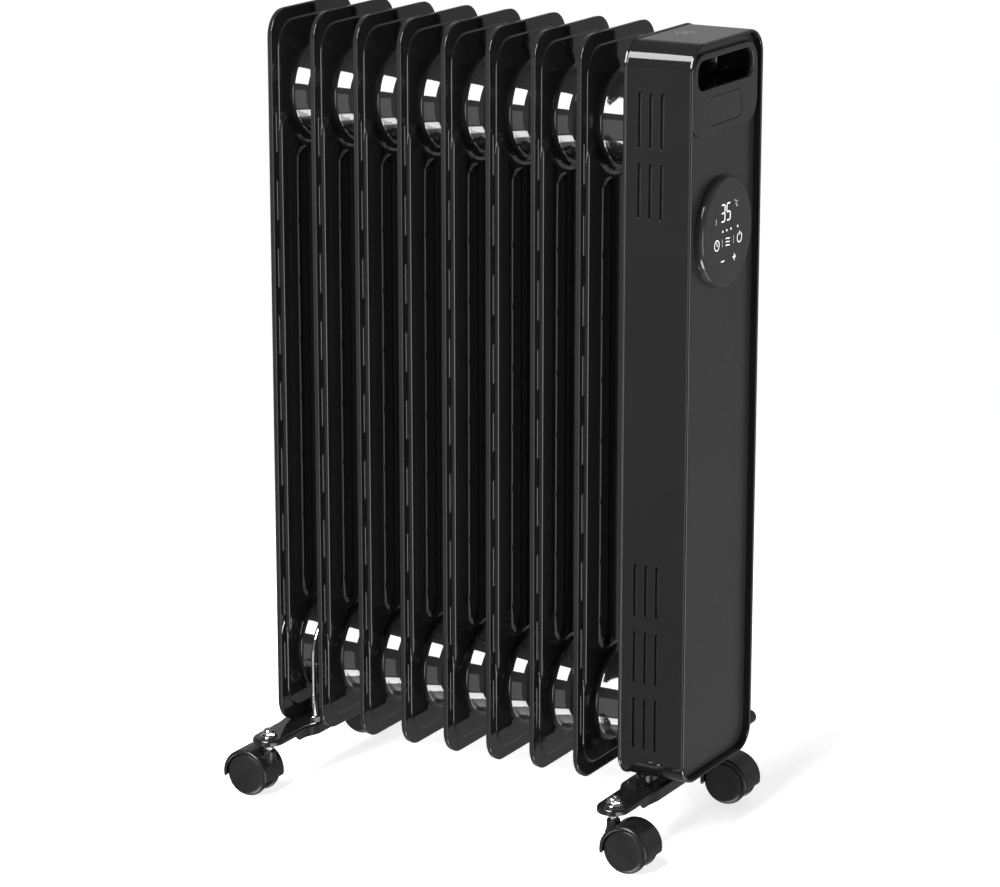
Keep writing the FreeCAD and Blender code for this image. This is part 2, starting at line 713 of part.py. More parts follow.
back_wall = "dims.housing_back + dims.housing_wall"
register(block("power_board", ("dims.board_sheet", "80", "150"),
               "dims.board_x + dims.board_sheet / 2", "0", "dims.board_z"), "power_board")
board_face = "dims.board_x + dims.board_sheet"
register(block("transformer", ("26", "34", "30"), f"{board_face} + 13", "-14",
               "dims.board_z + 45"), "transformer")
group("relays", [
    block(f"relay_{side}", ("16", "15", "20"), f"{board_face} + 8", f"{side} * 18",
          "dims.board_z - 25")
    for side in (-1, 1)
])
register(cylinder("filter_capacitor", "6", "20", "x", board_face, "26", "dims.board_z + 40"),
         "filter_capacitor")
register(block("terminal_block", ("14", "16", "44"), f"{back_wall} + 7", "41", "100"),
         "terminal_block")
register(cylinder("thermal_cutout", "8", "9", "x", back_wall, "-41", "107"), "thermal_cutout")
register(cylinder("temperature_sensor", "3", "16", "z", "165", "-20",
                  "dims.housing_bottom + dims.housing_wall"), "temperature_sensor")
lead_start = f"{hex_back} + dims.hex_height + 7"
lead_wires = []
for side in (-1, 1):
    rise = cylinder(f"lead_rise_{side}", "1.3", "dims.board_z - 60 - dims.header_low", "z",
                    lead_start, f"{side} * dims.element_spread",
                    "dims.header_low + dims.element_spread + 2.2")
    run_length = f"{lead_start} - ({board_face})"
    run = cylinder(f"lead_run_{side}", "1.3", run_length, "x", board_face,
                   f"{side} * dims.element_spread",
                   "dims.board_z - 60 + dims.element_spread + 0.9")
    lead_wires.append(fuse(f"lead_{side}", rise, run))
group("element_leads", lead_wires)
register(fuse(
    "display_cable",
    block("cable_run", ("1", "14", "84"), "178", "0", "441"),
    block("cable_out", ("12.5", "14", "1"), "184.25", "0", "482.5"),
    block("cable_in", ("24", "14", "1"), "166", "0", "399.5"),
), "display_cable")

switch_floor = "dims.switch_z"
switch_middle = "dims.switch_z + dims.switch_height / 2"
pin_height = "dims.switch_z + dims.switch_height - 7"
register(fuse(
    "tip_switch_case",
    cut("switch_shell",
        block("switch_outer", ("20", "24", "dims.switch_height"), f"{back_wall} + 10",
              "dims.switch_y", switch_middle),
        block("switch_inner", ("16", "20", "dims.switch_height - 4"), f"{back_wall} + 10",
              "dims.switch_y", switch_middle)),
    cylinder("switch_trunnion", "1.2", "18", "x", f"{back_wall} + 1", "dims.switch_y",
             pin_height),
), "tip_switch_case")
register(cut(
    "tip_switch_pendulum",
    fuse("pendulum_solid",
         cylinder("pendulum_eye", "2.6", "4", "x", f"{back_wall} + 8", "dims.switch_y",
                  pin_height),
         block("pendulum_rod", ("2", "2", "dims.pendulum_drop"), f"{back_wall} + 10",
               "dims.switch_y", f"{pin_height} - dims.pendulum_drop / 2"),
         cylinder("pendulum_bob", "4", "10", "x", f"{back_wall} + 5", "dims.switch_y",
                  f"{pin_height} - dims.pendulum_drop")),
    cylinder("pendulum_bore", "1.2 + dims.running_gap", "10", "x", f"{back_wall} + 5",
             "dims.switch_y", pin_height),
), "tip_switch_pendulum")


# ---------------------------------------------------------------------------- foot brackets

def make_bracket(label, stem_x, tie_side):
    """A channel pressed from sheet: a long narrow bar with a wider middle, open below."""
    body = new_body(label, stem_x)
    sheet_inset = "2 * dims.bracket_sheet"
    bars = (
        ("bar", "dims.bracket_tip_width", "dims.bracket_length", "dims.bracket_tip_bottom"),
        ("deep_bar", "dims.bracket_tip_width", "dims.bracket_deep_length", "dims.bracket_bottom"),
        ("middle", "dims.bracket_mid_width", "dims.bracket_mid_length", "dims.bracket_bottom"),
    )
    for name, width, length, bottom in bars:
        outline = new_sketch(body, f"{name}_outline", "XY_Plane", shift_z=bottom)
        add_rounded_rectangle(outline, name, width, length,
                              f"dims.bracket_tip_width / 2 - {FLAT_SPOT}")
        pad(body, name, outline, f"dims.bracket_top - {bottom}")
    for name, width, length, bottom in bars:
        outline = new_sketch(body, f"{name}_hollow_outline", "XY_Plane", shift_z=bottom)
        add_rounded_rectangle(outline, name, f"{width} - {sheet_inset}",
                              f"{length} - {sheet_inset}",
                              f"dims.bracket_tip_width / 2 - dims.bracket_sheet - {FLAT_SPOT}")
        pocket(body, f"{name}_hollow", outline,
               f"dims.bracket_top - {bottom} - dims.bracket_sheet")
    holes = new_sketch(body, "hole_outline", "XY_Plane", shift_z="dims.bracket_bottom")
    for index, side in enumerate((-1, 1)):
        add_circle(holes, f"stem_hole_{index}", "dims.stem_radius", "0", f"{side} * dims.stem_y")
        add_circle(holes, f"tie_hole_{index}", "dims.tie_rod + 0.3",
                   f"{tie_side} * dims.tie_offset", f"{side} * dims.tie_y")
        if label == "front_foot_bracket":
            add_circle(holes, f"screw_hole_{index}", "2.3", "0", front_bracket_y[index])
    pocket(body, "holes", holes, "dims.bracket_top - dims.bracket_bottom")


make_bracket("rear_foot_bracket", "dims.rear_stem_x", 1)
make_bracket("front_foot_bracket", "dims.front_stem_x", -1)

tie_x = "dims.rear_stem_x + dims.tie_offset"
arch_z = "dims.header_low + dims.boss_neck + dims.tie_rod - dims.tie_y + 0.4"
arch = doc.addObject("Part::Torus", "u_bolt_arch")
arch.setExpression("Radius1", "dims.tie_y")
arch.setExpression("Radius2", "dims.tie_rod")
arch.Angle3 = 180
arch.Placement = FreeCAD.Placement(
    FreeCAD.Vector(),
    FreeCAD.Rotation(FreeCAD.Vector(0, 1, 0), FreeCAD.Vector(0, 0, 1), FreeCAD.Vector(1, 0, 0)))
place(arch, tie_x, "0", arch_z)
u_bolt_bottom = "dims.bracket_bottom - 1"
register(fuse("u_bolt", arch, *[
    cylinder(f"u_bolt_leg_{side}", "dims.tie_rod", f"{arch_z} - ({u_bolt_bottom})", "z", tie_x,
             f"{side} * dims.tie_y", u_bolt_bottom)
    for side in (-1, 1)
]), "u_bolt")


def hex_nut(name, circumradius, bore, height, x, y, z):
    return cut(name, prism(f"{name}_hex", circumradius, height, "z", x, y, z),
               cylinder(f"{name}_bore", bore, height, "z", x, y, z))


group("u_bolt_nuts", [
    hex_nut(f"u_bolt_nut_{side}_{place_name}", "4.6", "dims.tie_rod", "4.5", tie_x,
            f"{side} * dims.tie_y", level)
    for side in (-1, 1)
    for place_name, level in (("top", "dims.bracket_top"),
                              ("under", "dims.bracket_top - dims.bracket_sheet - 4.5"))
])
group("bracket_screws", [
    fuse(f"bracket_screw_{index}",
         cylinder(f"bracket_screw_shank_{index}", "2.1", "12", "z", "dims.front_stem_x", side,
                  "dims.bracket_top - dims.bracket_sheet"),
         cylinder(f"bracket_screw_head_{index}", "4.2", "3", "z", "dims.front_stem_x", side,
                  "dims.bracket_top - dims.bracket_sheet - 3"))
    for index, side in enumerate(front_bracket_y)
])


# --------------------------------------------------------------------------------- casters

def make_hood(label, stem_x, side, trail_side):
    """The swivelling moulding: a central web with the stem socket, and an arch over the wheels."""
    body = new_body(label, stem_x, f"{side} * dims.stem_y")
    axle_x = f"{trail_side} * dims.trail"
    disc = new_sketch(body, "disc_outline", "XZ_Plane")
    add_circle(disc, "disc", "dims.hood_radius", axle_x, "dims.axle_z")
    pad(body, "disc", disc, "2 * dims.hood_half_width", symmetric=True)
    for well in (1, -1):
        outline = new_sketch(body, f"well_outline_{well + 1}", "XZ_Plane",
                             shift_z=f"{well} * dims.web_half_width")
        add_circle(outline, "well", "dims.hood_radius - dims.hood_wall", axle_x, "dims.axle_z")
        pocket(body, f"wheel_well_{well + 1}", outline, "dims.hood_half_width",
               along_normal=well == 1)
    skirt = new_sketch(body, "skirt_outline", "XZ_Plane")
    add_rounded_rectangle(skirt, "skirt", "60", "40", "1", axle_x,
                          "dims.axle_z - dims.skirt_drop - 20")
    pocket(body, "open_underside", skirt, "4 * dims.hood_half_width", symmetric=True)
    socket = new_sketch(body, "socket_outline", "XY_Plane", shift_z="dims.stem_bottom - 3")
    add_circle(socket, "socket", "dims.socket_radius")
    pad(body, "socket", socket, "dims.socket_top - dims.stem_bottom + 3")
    bore = new_sketch(body, "bore_outline", "XY_Plane", shift_z="dims.stem_bottom")
    add_circle(bore, "bore", "dims.stem_radius + dims.running_gap")
    pocket(body, "stem_bore", bore, "dims.hood_radius + dims.axle_z")
    axle_bore = new_sketch(body, "axle_bore_outline", "XZ_Plane")
    add_circle(axle_bore, "axle_bore", "dims.axle_radius", axle_x, "dims.axle_z")
    pocket(body, "axle_bore", axle_bore, "4 * dims.hood_half_width", symmetric=True)


def make_wheel(label, x, y, facing):
    """One moulded wheel, turned about the axle, with a hub and a hollow inner side."""
    body = new_body(label, x, y, "dims.axle_z")
    outline = new_sketch(body, "wheel_outline", "XY_Plane")
    bore = "dims.axle_radius + dims.running_gap"
    inner = f"{facing} * dims.wheel_inner"
    outer = f"{facing} * dims.wheel_outer"
    add_polygon(outline, "wheel", (
        (bore, inner),
        ("dims.axle_radius + 3", inner),
        ("dims.axle_radius + 3", f"{facing} * (dims.wheel_inner + 4)"),
        ("dims.wheel_radius - 3", f"{facing} * (dims.wheel_inner + 4)"),
        ("dims.wheel_radius - 3", inner),
        ("dims.wheel_radius - 0.8", inner),
        ("dims.wheel_radius", f"{facing} * (dims.wheel_inner + 0.8)"),
        ("dims.wheel_radius", f"{facing} * (dims.wheel_outer - 1.5)"),
        ("dims.wheel_radius - 1.5", outer),
        ("0", outer),
        ("0", f"{facing} * (dims.wheel_outer - 1.3)"),
        (bore, f"{facing} * (dims.wheel_outer - 1.3)"),
    ))
    turn(body, "wheel", outline, "V_Axis")


stems = []
cap_nuts = []
lock_nuts = []
for end, stem_x, trail_side in (("rear", "dims.rear_stem_x", -1),
                                ("front", "dims.front_stem_x", 1)):
    for hand, side in (("right", -1), ("left", 1)):
        corner = f"{end}_{hand}"
        stem_y = f"{side} * dims.stem_y"
        axle_x = f"{stem_x} + {trail_side} * dims.trail"
        make_hood(f"caster_hood_{corner}", stem_x, side, trail_side)
        stems.append(cylinder(f"caster_stem_{corner}", "dims.stem_radius",
                              "dims.stem_top - dims.stem_bottom - 0.3", "z", stem_x, stem_y,
                              "dims.stem_bottom + 0.3"))
        register(cylinder(f"caster_axle_{corner}", "dims.axle_radius",
                          "2 * (dims.wheel_outer - 1.6)", "y", axle_x,
                          f"{stem_y} - dims.wheel_outer + 1.6", "dims.axle_z"),
                 f"caster_axle_{corner}")
        make_wheel(f"caster_wheel_{corner}_outer", axle_x, stem_y, side)
        make_wheel(f"caster_wheel_{corner}_inner", axle_x, stem_y, -side)
        flange = cylinder(f"cap_flange_{corner}", "7", "1", "z", stem_x, stem_y,
                          "dims.bracket_top")
        dome = doc.addObject("Part::Sphere", f"cap_dome_{corner}")
        dome.setExpression("Radius", "6")
        dome.Angle1 = 0
        place(dome, stem_x, stem_y, "dims.bracket_top + 1")
        cap_nuts.append(cut(
            f"cap_nut_{corner}", fuse(f"cap_solid_{corner}", flange, dome),
            cylinder(f"cap_bore_{corner}", "dims.stem_radius",
                     "dims.stem_top - dims.bracket_top", "z", stem_x, stem_y,
                     "dims.bracket_top")))
        lock_nuts.append(hex_nut(f"lock_nut_{corner}", "5.8", "dims.stem_radius", "5", stem_x,
                                 stem_y, "dims.bracket_top - dims.bracket_sheet - 5"))
group("caster_stems", stems)
group("caster_cap_nuts", cap_nuts)
group("caster_lock_nuts", lock_nuts)


# --------------------------------------------------------------------------- check and write

doc.recompute()
for item in doc.Objects:
    if "Invalid" in item.State or "Error" in item.State:
        raise RuntimeError(f"{item.Label} failed: {item.State}")
for label, item in nodes.items():
    if item.Shape.isNull() or not item.Shape.isValid():
        raise RuntimeError(f"{label} has no valid shape")

os.makedirs("parts", exist_ok=True)
for label, item in nodes.items():
    item.Shape.exportStep(f"parts/{label}.step")
    box = item.Shape.BoundBox
    print(f"{label:32s} solids {len(item.Shape.Solids)}  volume {item.Shape.Volume:10.0f}"
          f"  x {box.XMin:7.1f} {box.XMax:7.1f}  y {box.YMin:6.1f} {box.YMax:6.1f}"
          f"  z {box.ZMin:6.1f} {box.ZMax:6.1f}")
print(f"{len(nodes)} nodes")
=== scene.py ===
import bpy
import bmesh
import json
import math
import numpy as np
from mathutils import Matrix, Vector
from mathutils.geometry import delaunay_2d_cdt


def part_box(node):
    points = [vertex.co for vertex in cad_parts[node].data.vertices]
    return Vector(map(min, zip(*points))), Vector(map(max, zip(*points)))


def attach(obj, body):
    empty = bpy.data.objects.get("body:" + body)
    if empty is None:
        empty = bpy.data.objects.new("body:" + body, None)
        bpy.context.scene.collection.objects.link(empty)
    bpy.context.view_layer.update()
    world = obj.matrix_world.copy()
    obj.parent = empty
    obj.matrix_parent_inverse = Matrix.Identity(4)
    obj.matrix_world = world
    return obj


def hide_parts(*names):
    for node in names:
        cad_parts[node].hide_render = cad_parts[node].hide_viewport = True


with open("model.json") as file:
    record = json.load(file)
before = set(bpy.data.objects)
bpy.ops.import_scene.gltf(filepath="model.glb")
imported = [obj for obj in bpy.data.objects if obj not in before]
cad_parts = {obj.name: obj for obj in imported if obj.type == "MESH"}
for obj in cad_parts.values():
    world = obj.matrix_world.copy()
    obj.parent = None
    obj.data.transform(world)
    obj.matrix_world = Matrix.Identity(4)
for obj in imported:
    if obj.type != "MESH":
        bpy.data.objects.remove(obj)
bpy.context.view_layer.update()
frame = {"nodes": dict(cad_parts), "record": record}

# The shapes are laid out in millimetres and their meshes scaled to metres when they are made.
# The materials, floor, lights and camera are in metres.  +X runs from fin 1 to the control
# housing and +Z is up.
MM = 0.001
FIN_COUNT = 8
FIRST_FIN_X, FIN_PITCH = -170.0, 38.65
LAST_FIN_X = FIRST_FIN_X + FIN_PITCH * (FIN_COUNT - 1)
HEADER_LEVELS = (107.0, 562.0)
SHELL_BACK = 139.5
REAR_STEM_X, FRONT_STEM_X, STEM_Y = -161.8, 150.6, 86.0
CORNERS = ("rear_right", "rear_left", "front_right", "front_left")


def high(node):
    return [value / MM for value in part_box(node)[1]]


# ---- Materials

MATERIALS = {}


def value_node(tree, kind, **inputs):
    node = tree.nodes.new(kind)
    for name, value in inputs.items():
        node.inputs[name.replace("_", " ")].default_value = value
    return node


def combine(tree, operation, first, second):
    """A sum, difference or product of two values, each a number or a node's output."""
    node = tree.nodes.new("ShaderNodeMath")
    node.operation = operation
    for slot, value in enumerate((first, second)):
        if isinstance(value, float):
            node.inputs[slot].default_value = value
        else:
            tree.links.new(value, node.inputs[slot])
    return node.outputs["Value"]


def noise(tree, place, scale, detail, roughness):
    node = value_node(tree, "ShaderNodeTexNoise", Scale=scale, Detail=detail,
                      Roughness=roughness)
    tree.links.new(place, node.inputs["Vector"])
    return node.outputs["Fac"]


def spread(tree, source, low_in, high_in, low_out=0.0, high_out=1.0, smooth=False):
    """One range of a value stretched onto another, and held beyond its ends."""
    node = value_node(tree, "ShaderNodeMapRange", From_Min=low_in, From_Max=high_in,
                      To_Min=low_out, To_Max=high_out)
    if smooth:
        node.interpolation_type = "SMOOTHSTEP"
    tree.links.new(source, node.inputs["Value"])
    return node.outputs["Result"]


def surface(name, dark, light, rough, grain=900.0, relief=20.0, cloud=14.0, metal=0.0,
            coat=0.0, specular=0.5, speck=0.0, stretch=None):
    """A finish whose colour and gloss wander a little, with a fine grain in its relief.

    dark and light bound the colour and rough the roughness.  grain and cloud are noise scales,
    relief is in micrometres, speck roughens scattered spots and stretch draws out the grain.
    """
    material = bpy.data.materials.new(name)
    material.use_nodes = True
    tree = material.node_tree
    shader = tree.nodes["Principled BSDF"]
    for socket, value in (("Metallic", metal), ("Specular IOR Level", specular), ("IOR", 1.5),
                          ("Coat Weight", coat), ("Coat Roughness", 0.04)):
        shader.inputs[socket].default_value = value
    place = tree.nodes.new("ShaderNodeTexCoord").outputs["Object"]
    clouds = noise(tree, place, cloud, 4.0, 0.55)
    mix = tree.nodes.new("ShaderNodeMix")
    mix.data_type = "RGBA"
    mix.inputs["A"].default_value = (*dark, 1)
    mix.inputs["B"].default_value = (*light, 1)
    tree.links.new(spread(tree, clouds, 0.35, 0.65), mix.inputs["Factor"])
    tree.links.new(mix.outputs["Result"], shader.inputs["Base Color"])
    gloss = spread(tree, clouds, 0.3, 0.7, rough[0], rough[1])
    if speck:
        dust = noise(tree, place, 420.0, 2.0, 0.5)
        gloss = combine(tree, "ADD", gloss, spread(tree, dust, 0.72, 0.80, 0.0, speck))
    tree.links.new(gloss, shader.inputs["Roughness"])
    if stretch:
        mapping = value_node(tree, "ShaderNodeMapping", Scale=stretch)
        tree.links.new(place, mapping.inputs["Vector"])
        place = mapping.outputs["Vector"]
    bump = value_node(tree, "ShaderNodeBump", Strength=1.0, Distance=relief * 1e-6)
    tree.links.new(noise(tree, place, grain, 2.0, 0.5), bump.inputs["Height"])
    tree.links.new(bump.outputs["Normal"], shader.inputs["Normal"])
    MATERIALS[name] = material
    return material


def glow(name, strength):
    """Light coming through a translucent mark, a little uneven as a diffuser makes it."""
    material = surface(name, tone(0.6), tone(0.7), (0.3, 0.4), cloud=200.0)
    shader = material.node_tree.nodes["Principled BSDF"]
    shader.inputs["Emission Color"].default_value = (1, 1, 1, 1)
    shader.inputs["Emission Strength"].default_value = strength


def tone(level, warm=0.0):
    return (level * (1 + warm), level, level * (1 - warm))


surface("fin_paint", tone(0.0085), tone(0.0115), (0.045, 0.085), grain=260.0, relief=12.0,
        cloud=9.0, coat=0.25, speck=0.10)
surface("bracket_paint", tone(0.006), tone(0.009), (0.06, 0.12), grain=300.0, relief=14.0,
        cloud=20.0, coat=0.2, speck=0.12)
surface("gloss_black", tone(0.0065), tone(0.0085), (0.05, 0.075), grain=220.0, relief=6.0,
        cloud=7.0, speck=0.05)
# Painted reflection and light: the front panel's grey is partly its own colour and partly lifted
# to stand in for the room it mirrors and the key light it misses
surface("panel_grey", tone(0.026), tone(0.030), (0.26, 0.31), grain=2600.0, relief=8.0,
        cloud=9.0)
surface("badge_satin", tone(0.029), tone(0.033), (0.24, 0.32), grain=2400.0, relief=8.0,
        cloud=30.0)
surface("matte_black", tone(0.006), tone(0.009), (0.28, 0.36), grain=1900.0, relief=20.0,
        cloud=22.0)
surface("pocket_black", tone(0.004), tone(0.006), (0.10, 0.16), grain=900.0, relief=10.0,
        cloud=22.0)
surface("lens_black", tone(0.030), tone(0.034), (0.10, 0.13), grain=700.0, relief=3.0,
        cloud=12.0)
surface("board_green", (0.012, 0.10, 0.045), (0.018, 0.15, 0.07), (0.3, 0.42), grain=1200.0,
        cloud=120.0)
surface("diffuser_white", tone(0.72), tone(0.8), (0.4, 0.5), cloud=60.0)
surface("component_dark", (0.02, 0.02, 0.035), (0.035, 0.035, 0.05), (0.35, 0.5), grain=1500.0,
        cloud=90.0)
surface("terminal_white", tone(0.62, 0.03), tone(0.7, 0.02), (0.4, 0.5), cloud=70.0)
surface("lead_red", (0.38, 0.02, 0.015), (0.5, 0.03, 0.02), (0.35, 0.45), cloud=60.0)
surface("ribbon_grey", tone(0.38), tone(0.46), (0.4, 0.5), grain=700.0, stretch=(1, 6, 0.05),
        relief=100.0)
surface("zinc_steel", tone(0.52), tone(0.66, 0.02), (0.22, 0.34), grain=900.0, cloud=90.0,
        metal=1.0, relief=15.0)
surface("element_steel", tone(0.42), tone(0.55), (0.25, 0.38), grain=900.0, cloud=60.0,
        metal=1.0, stretch=(1, 1, 8))
surface("chrome_plate", tone(0.74), tone(0.82), (0.035, 0.08), grain=500.0, cloud=60.0,
        metal=1.0, relief=6.0)
surface("brass", (0.62, 0.42, 0.16), (0.72, 0.52, 0.22), (0.22, 0.34), metal=1.0, cloud=60.0)
surface("gasket_rubber", tone(0.012), tone(0.02), (0.6, 0.75), cloud=60.0)
surface("caster_plastic", tone(0.006), tone(0.009), (0.20, 0.30), grain=1500.0, relief=18.0,
        cloud=40.0, speck=0.1)
surface("wheel_plastic", tone(0.006), tone(0.009), (0.30, 0.40), grain=1700.0, relief=20.0,
        cloud=50.0, specular=0.35, speck=0.15)
# Painted shade: a near-black sheet behind the housing's slots, where the inside lies in shade
surface("shade_sheet_black", tone(0.004), tone(0.008), (0.5, 0.6), grain=3000.0, relief=200.0,
        cloud=900.0)
glow("mark_bright", 1.1)
glow("mark_dim", 0.12)
surface("ring_grey", tone(0.13), tone(0.16), (0.3, 0.4), cloud=120.0)


# ---- Mesh building

class Shape:
    """Vertices in millimetres and the faces between them."""

    def __init__(self):
        self.points = []
        self.faces = []
        self.flat = set()

    def ring(self, points):
        start = len(self.points)
        self.points.extend(tuple(float(value) for value in point) for point in points)
        return list(range(start, len(self.points)))

    def bridge(self, first, second, closed=True, skip=()):
        count = len(first)
        for index in range(count if closed else count - 1):
            if index in skip:
                continue
            after = (index + 1) % count
            self.faces.append((first[index], first[after], second[after], second[index]))

    def loft(self, rings, closed=True, skip=()):
        rows = [self.ring(ring) for ring in rings]
        for first, second in zip(rows, rows[1:]):
            self.bridge(first, second, closed, skip)
        return rows

    def cap(self, row):
        self.faces.append(tuple(row))

    def closed(self, rings):
        """A loft with a face over each end."""
        rows = self.loft(rings)
        self.cap(rows[0])
        self.cap(rows[-1])

    def fill(self, loops, lift):
        """Triangles over a flat region: the first loop bounds it and the others are holes."""
        flat = [Vector(point) for loop in loops for point in loop]
        edges, start = [], 0
        for loop in loops:
            count = len(loop)
            edges += [(start + index, start + (index + 1) % count) for index in range(count)]
            start += count
        found, _, triangles, _, _, _ = delaunay_2d_cdt(flat, edges, [], 0, 1e-5)
        row = self.ring([lift(point) for point in found])
        for triangle in triangles:
            middle = sum((found[index] for index in triangle), Vector((0, 0))) / 3
            if inside(middle, loops[0]) and not any(inside(middle, hole) for hole in loops[1:]):
                self.flat.add(len(self.faces))
                self.faces.append(tuple(row[index] for index in triangle))

    def turned(self, profile, centre, axis, steps=64, start=0.0, sweep=None):
        """A profile of (radius, height) pairs turned about an axis through centre."""
        count = steps if sweep is None else steps + 1
        whole = 2 * math.pi if sweep is None else sweep
        rings = []
        for radius, height in profile:
            ring = []
            for index in range(count):
                angle = start + whole * index / steps
                across, up = radius * math.cos(angle), radius * math.sin(angle)
                offset = {"x": (height, across, up), "y": (across, height, up),
                          "z": (across, up, height)}[axis]
                ring.append(tuple(c + o for c, o in zip(centre, offset)))
            rings.append(ring)
        return self.loft(rings, closed=sweep is None)

    def tube(self, path, radius, steps=20):
        """A round bar along a path of points in a plane of constant x."""
        rings = []
        for index, point in enumerate(path):
            before = Vector(path[max(index - 1, 0)])
            after = Vector(path[min(index + 1, len(path) - 1)])
            along = (after - before).normalized()
            side = Vector((1, 0, 0))
            other = along.cross(side)
            rings.append([
                tuple(Vector(point) + radius * (math.cos(angle) * side
                                                + math.sin(angle) * other))
                for angle in (2 * math.pi * step / steps for step in range(steps))
            ])
        self.closed(rings)

    def make(self, name, smooth_angle=38.0, weighted=True):
        mesh = bpy.data.meshes.new(name)
        mesh.from_pydata([tuple(c * MM for c in point) for point in self.points], [],
                         self.faces)
        mesh.polygons.foreach_set(
            "use_smooth", [index not in self.flat for index in range(len(self.faces))])
        work = bmesh.new()
        work.from_mesh(mesh)
        bmesh.ops.remove_doubles(work, verts=work.verts, dist=2e-6)
        bmesh.ops.dissolve_degenerate(work, edges=work.edges, dist=1e-6)
        bmesh.ops.recalc_face_normals(work, faces=work.faces)
        work.to_mesh(mesh)
        work.free()
        mesh.set_sharp_from_angle(angle=math.radians(smooth_angle))
        mesh["weighted"] = weighted
        return mesh


def inside(point, loop):
    """Whether a point of a plane lies within a closed loop."""
    hit = False
    for (ax, ay), (bx, by) in zip(loop, loop[1:] + loop[:1]):
        if (ay > point[1]) != (by > point[1]):
            if point[0] < (bx - ax) * (point[1] - ay) / (by - ay) + ax:
                hit = not hit
    return hit


def add(name, data):
    thing = bpy.data.objects.new(name, data)
    bpy.context.scene.collection.objects.link(thing)
    return thing


def piece(mesh, name, material, body="radiator", replaces=(), place=(0, 0, 0)):
    thing = add(name, mesh)
    thing.location = [value * MM for value in place]
    if not mesh.materials:
        mesh.materials.append(MATERIALS[material])
    if mesh.get("weighted"):
        modifier = thing.modifiers.new("even_normals", "WEIGHTED_NORMAL")
        modifier.keep_sharp = True
        modifier.weight = 100
    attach(thing, body)
    if replaces:
        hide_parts(*replaces)
    return thing


def rounded(half_width, bottom, top, radius, steps=12):
    """A rounded rectangle as (y, z) points, starting at the low end of the +y side."""
    points = []
    for turn, (side, level) in enumerate(((1, top - radius), (-1, top - radius),
                                          (-1, bottom + radius), (1, bottom + radius))):
        for step in range(steps + 1):
            angle = math.pi / 2 * (turn + step / steps)
            points.append((side * (half_width - radius) + radius * math.cos(angle),
                           level + radius * math.sin(angle)))
    return points


def inset_rounded(half_width, bottom, top, radius, inset, steps=12):
    return rounded(half_width - inset, bottom + inset, top - inset,
                   max(radius - inset, 0.05), steps)


def at_x(x, flat):
    return [(x, y, z) for y, z in flat]


def rims(outline, profile):
    """Rings of a rounded rectangle at (inset, x) steps."""
    return [at_x(x, inset_rounded(*outline, inset)) for inset, x in profile]


def shrink(loop, amount):
    """A dense closed loop moved inward along its own normals."""
    result = []
    count = len(loop)
    for index in range(count):
        ax, ay = loop[index - 1]
        bx, by = loop[(index + 1) % count]
        length = math.hypot(bx - ax, by - ay) or 1.0
        result.append((loop[index][0] - amount * (by - ay) / length,
                       loop[index][1] + amount * (bx - ax) / length))
    return result


# ---- Fins

WELD = 3.5
SHEET = 0.7
FIN_HALF, FIN_LOW, FIN_TOP, FIN_CORNER = 59.7, 50.0, 630.0, 21.0
FACE_HALF, FACE_LOW, FACE_TOP, FACE_CORNER = 55.6, 57.0, 623.0, 24.0
FACE_RISE, CHANNEL_RISE, VALLEY_RISE = 1.0, 2.6, 0.6
# Rounded rectangles as (half width, bottom, top, corner radius), each with the width of its slope
FACE_STEP, FACE_SLOPE = (51.4, 59.2, 620.8, 22.0), 1.3
CHANNELS, CHANNEL_SLOPE = (51.6, 116.0, 551.0, 14.0), 1.5
VALLEY, VALLEY_SLOPE, VALLEY_Y = (9.8, 149.6, 519.4, 9.75), 2.3, 18.75
BOSS_BASE, BOSS_NECK, BOSS_FLARE, BOSS_END = 40.0, 34.0, 5.0, 30.8
BOSS_OVERLAP, BOSS_STEPS, BOSS_MOAT, MOAT_SLOPE = 6.0, 72, 40.4, 2.6
DIMPLE_COUNT, DIMPLE_TOP, DIMPLE_PITCH = 7, 460.0, 48.0
DIMPLE_Y, DIMPLE_DEPTH, DIMPLE_WIDTH, DIMPLE_LENGTH = 27.9, 0.3, 1.1, 1.8
OVAL_COUNT, OVAL_TOP, OVAL_PITCH = 9, 534.8, 53.8
OVAL_Y, OVAL_HALF, OVAL_REACH = 54.2, 1.5, 16.4


def ease(value):
    value = np.clip(value, 0.0, 1.0)
    return value * value * (3 - 2 * value)


def rounded_distance(y, z, half_width, bottom, top, radius):
    """Signed distance to a rounded rectangle, negative inside it."""
    dy = np.abs(y) - (half_width - radius)
    dz = np.abs(z - (top + bottom) / 2) - ((top - bottom) / 2 - radius)
    outside = np.hypot(np.maximum(dy, 0), np.maximum(dz, 0))
    return outside + np.minimum(np.maximum(dy, dz), 0) - radius


def flare_height(radius):
    """Height of the dished boss over the face at a distance from its axis."""
    span = np.clip((BOSS_BASE - radius) / (BOSS_BASE - BOSS_NECK), 0.0, 0.999)
    return BOSS_FLARE * (1 - np.sqrt(1 - span * span))


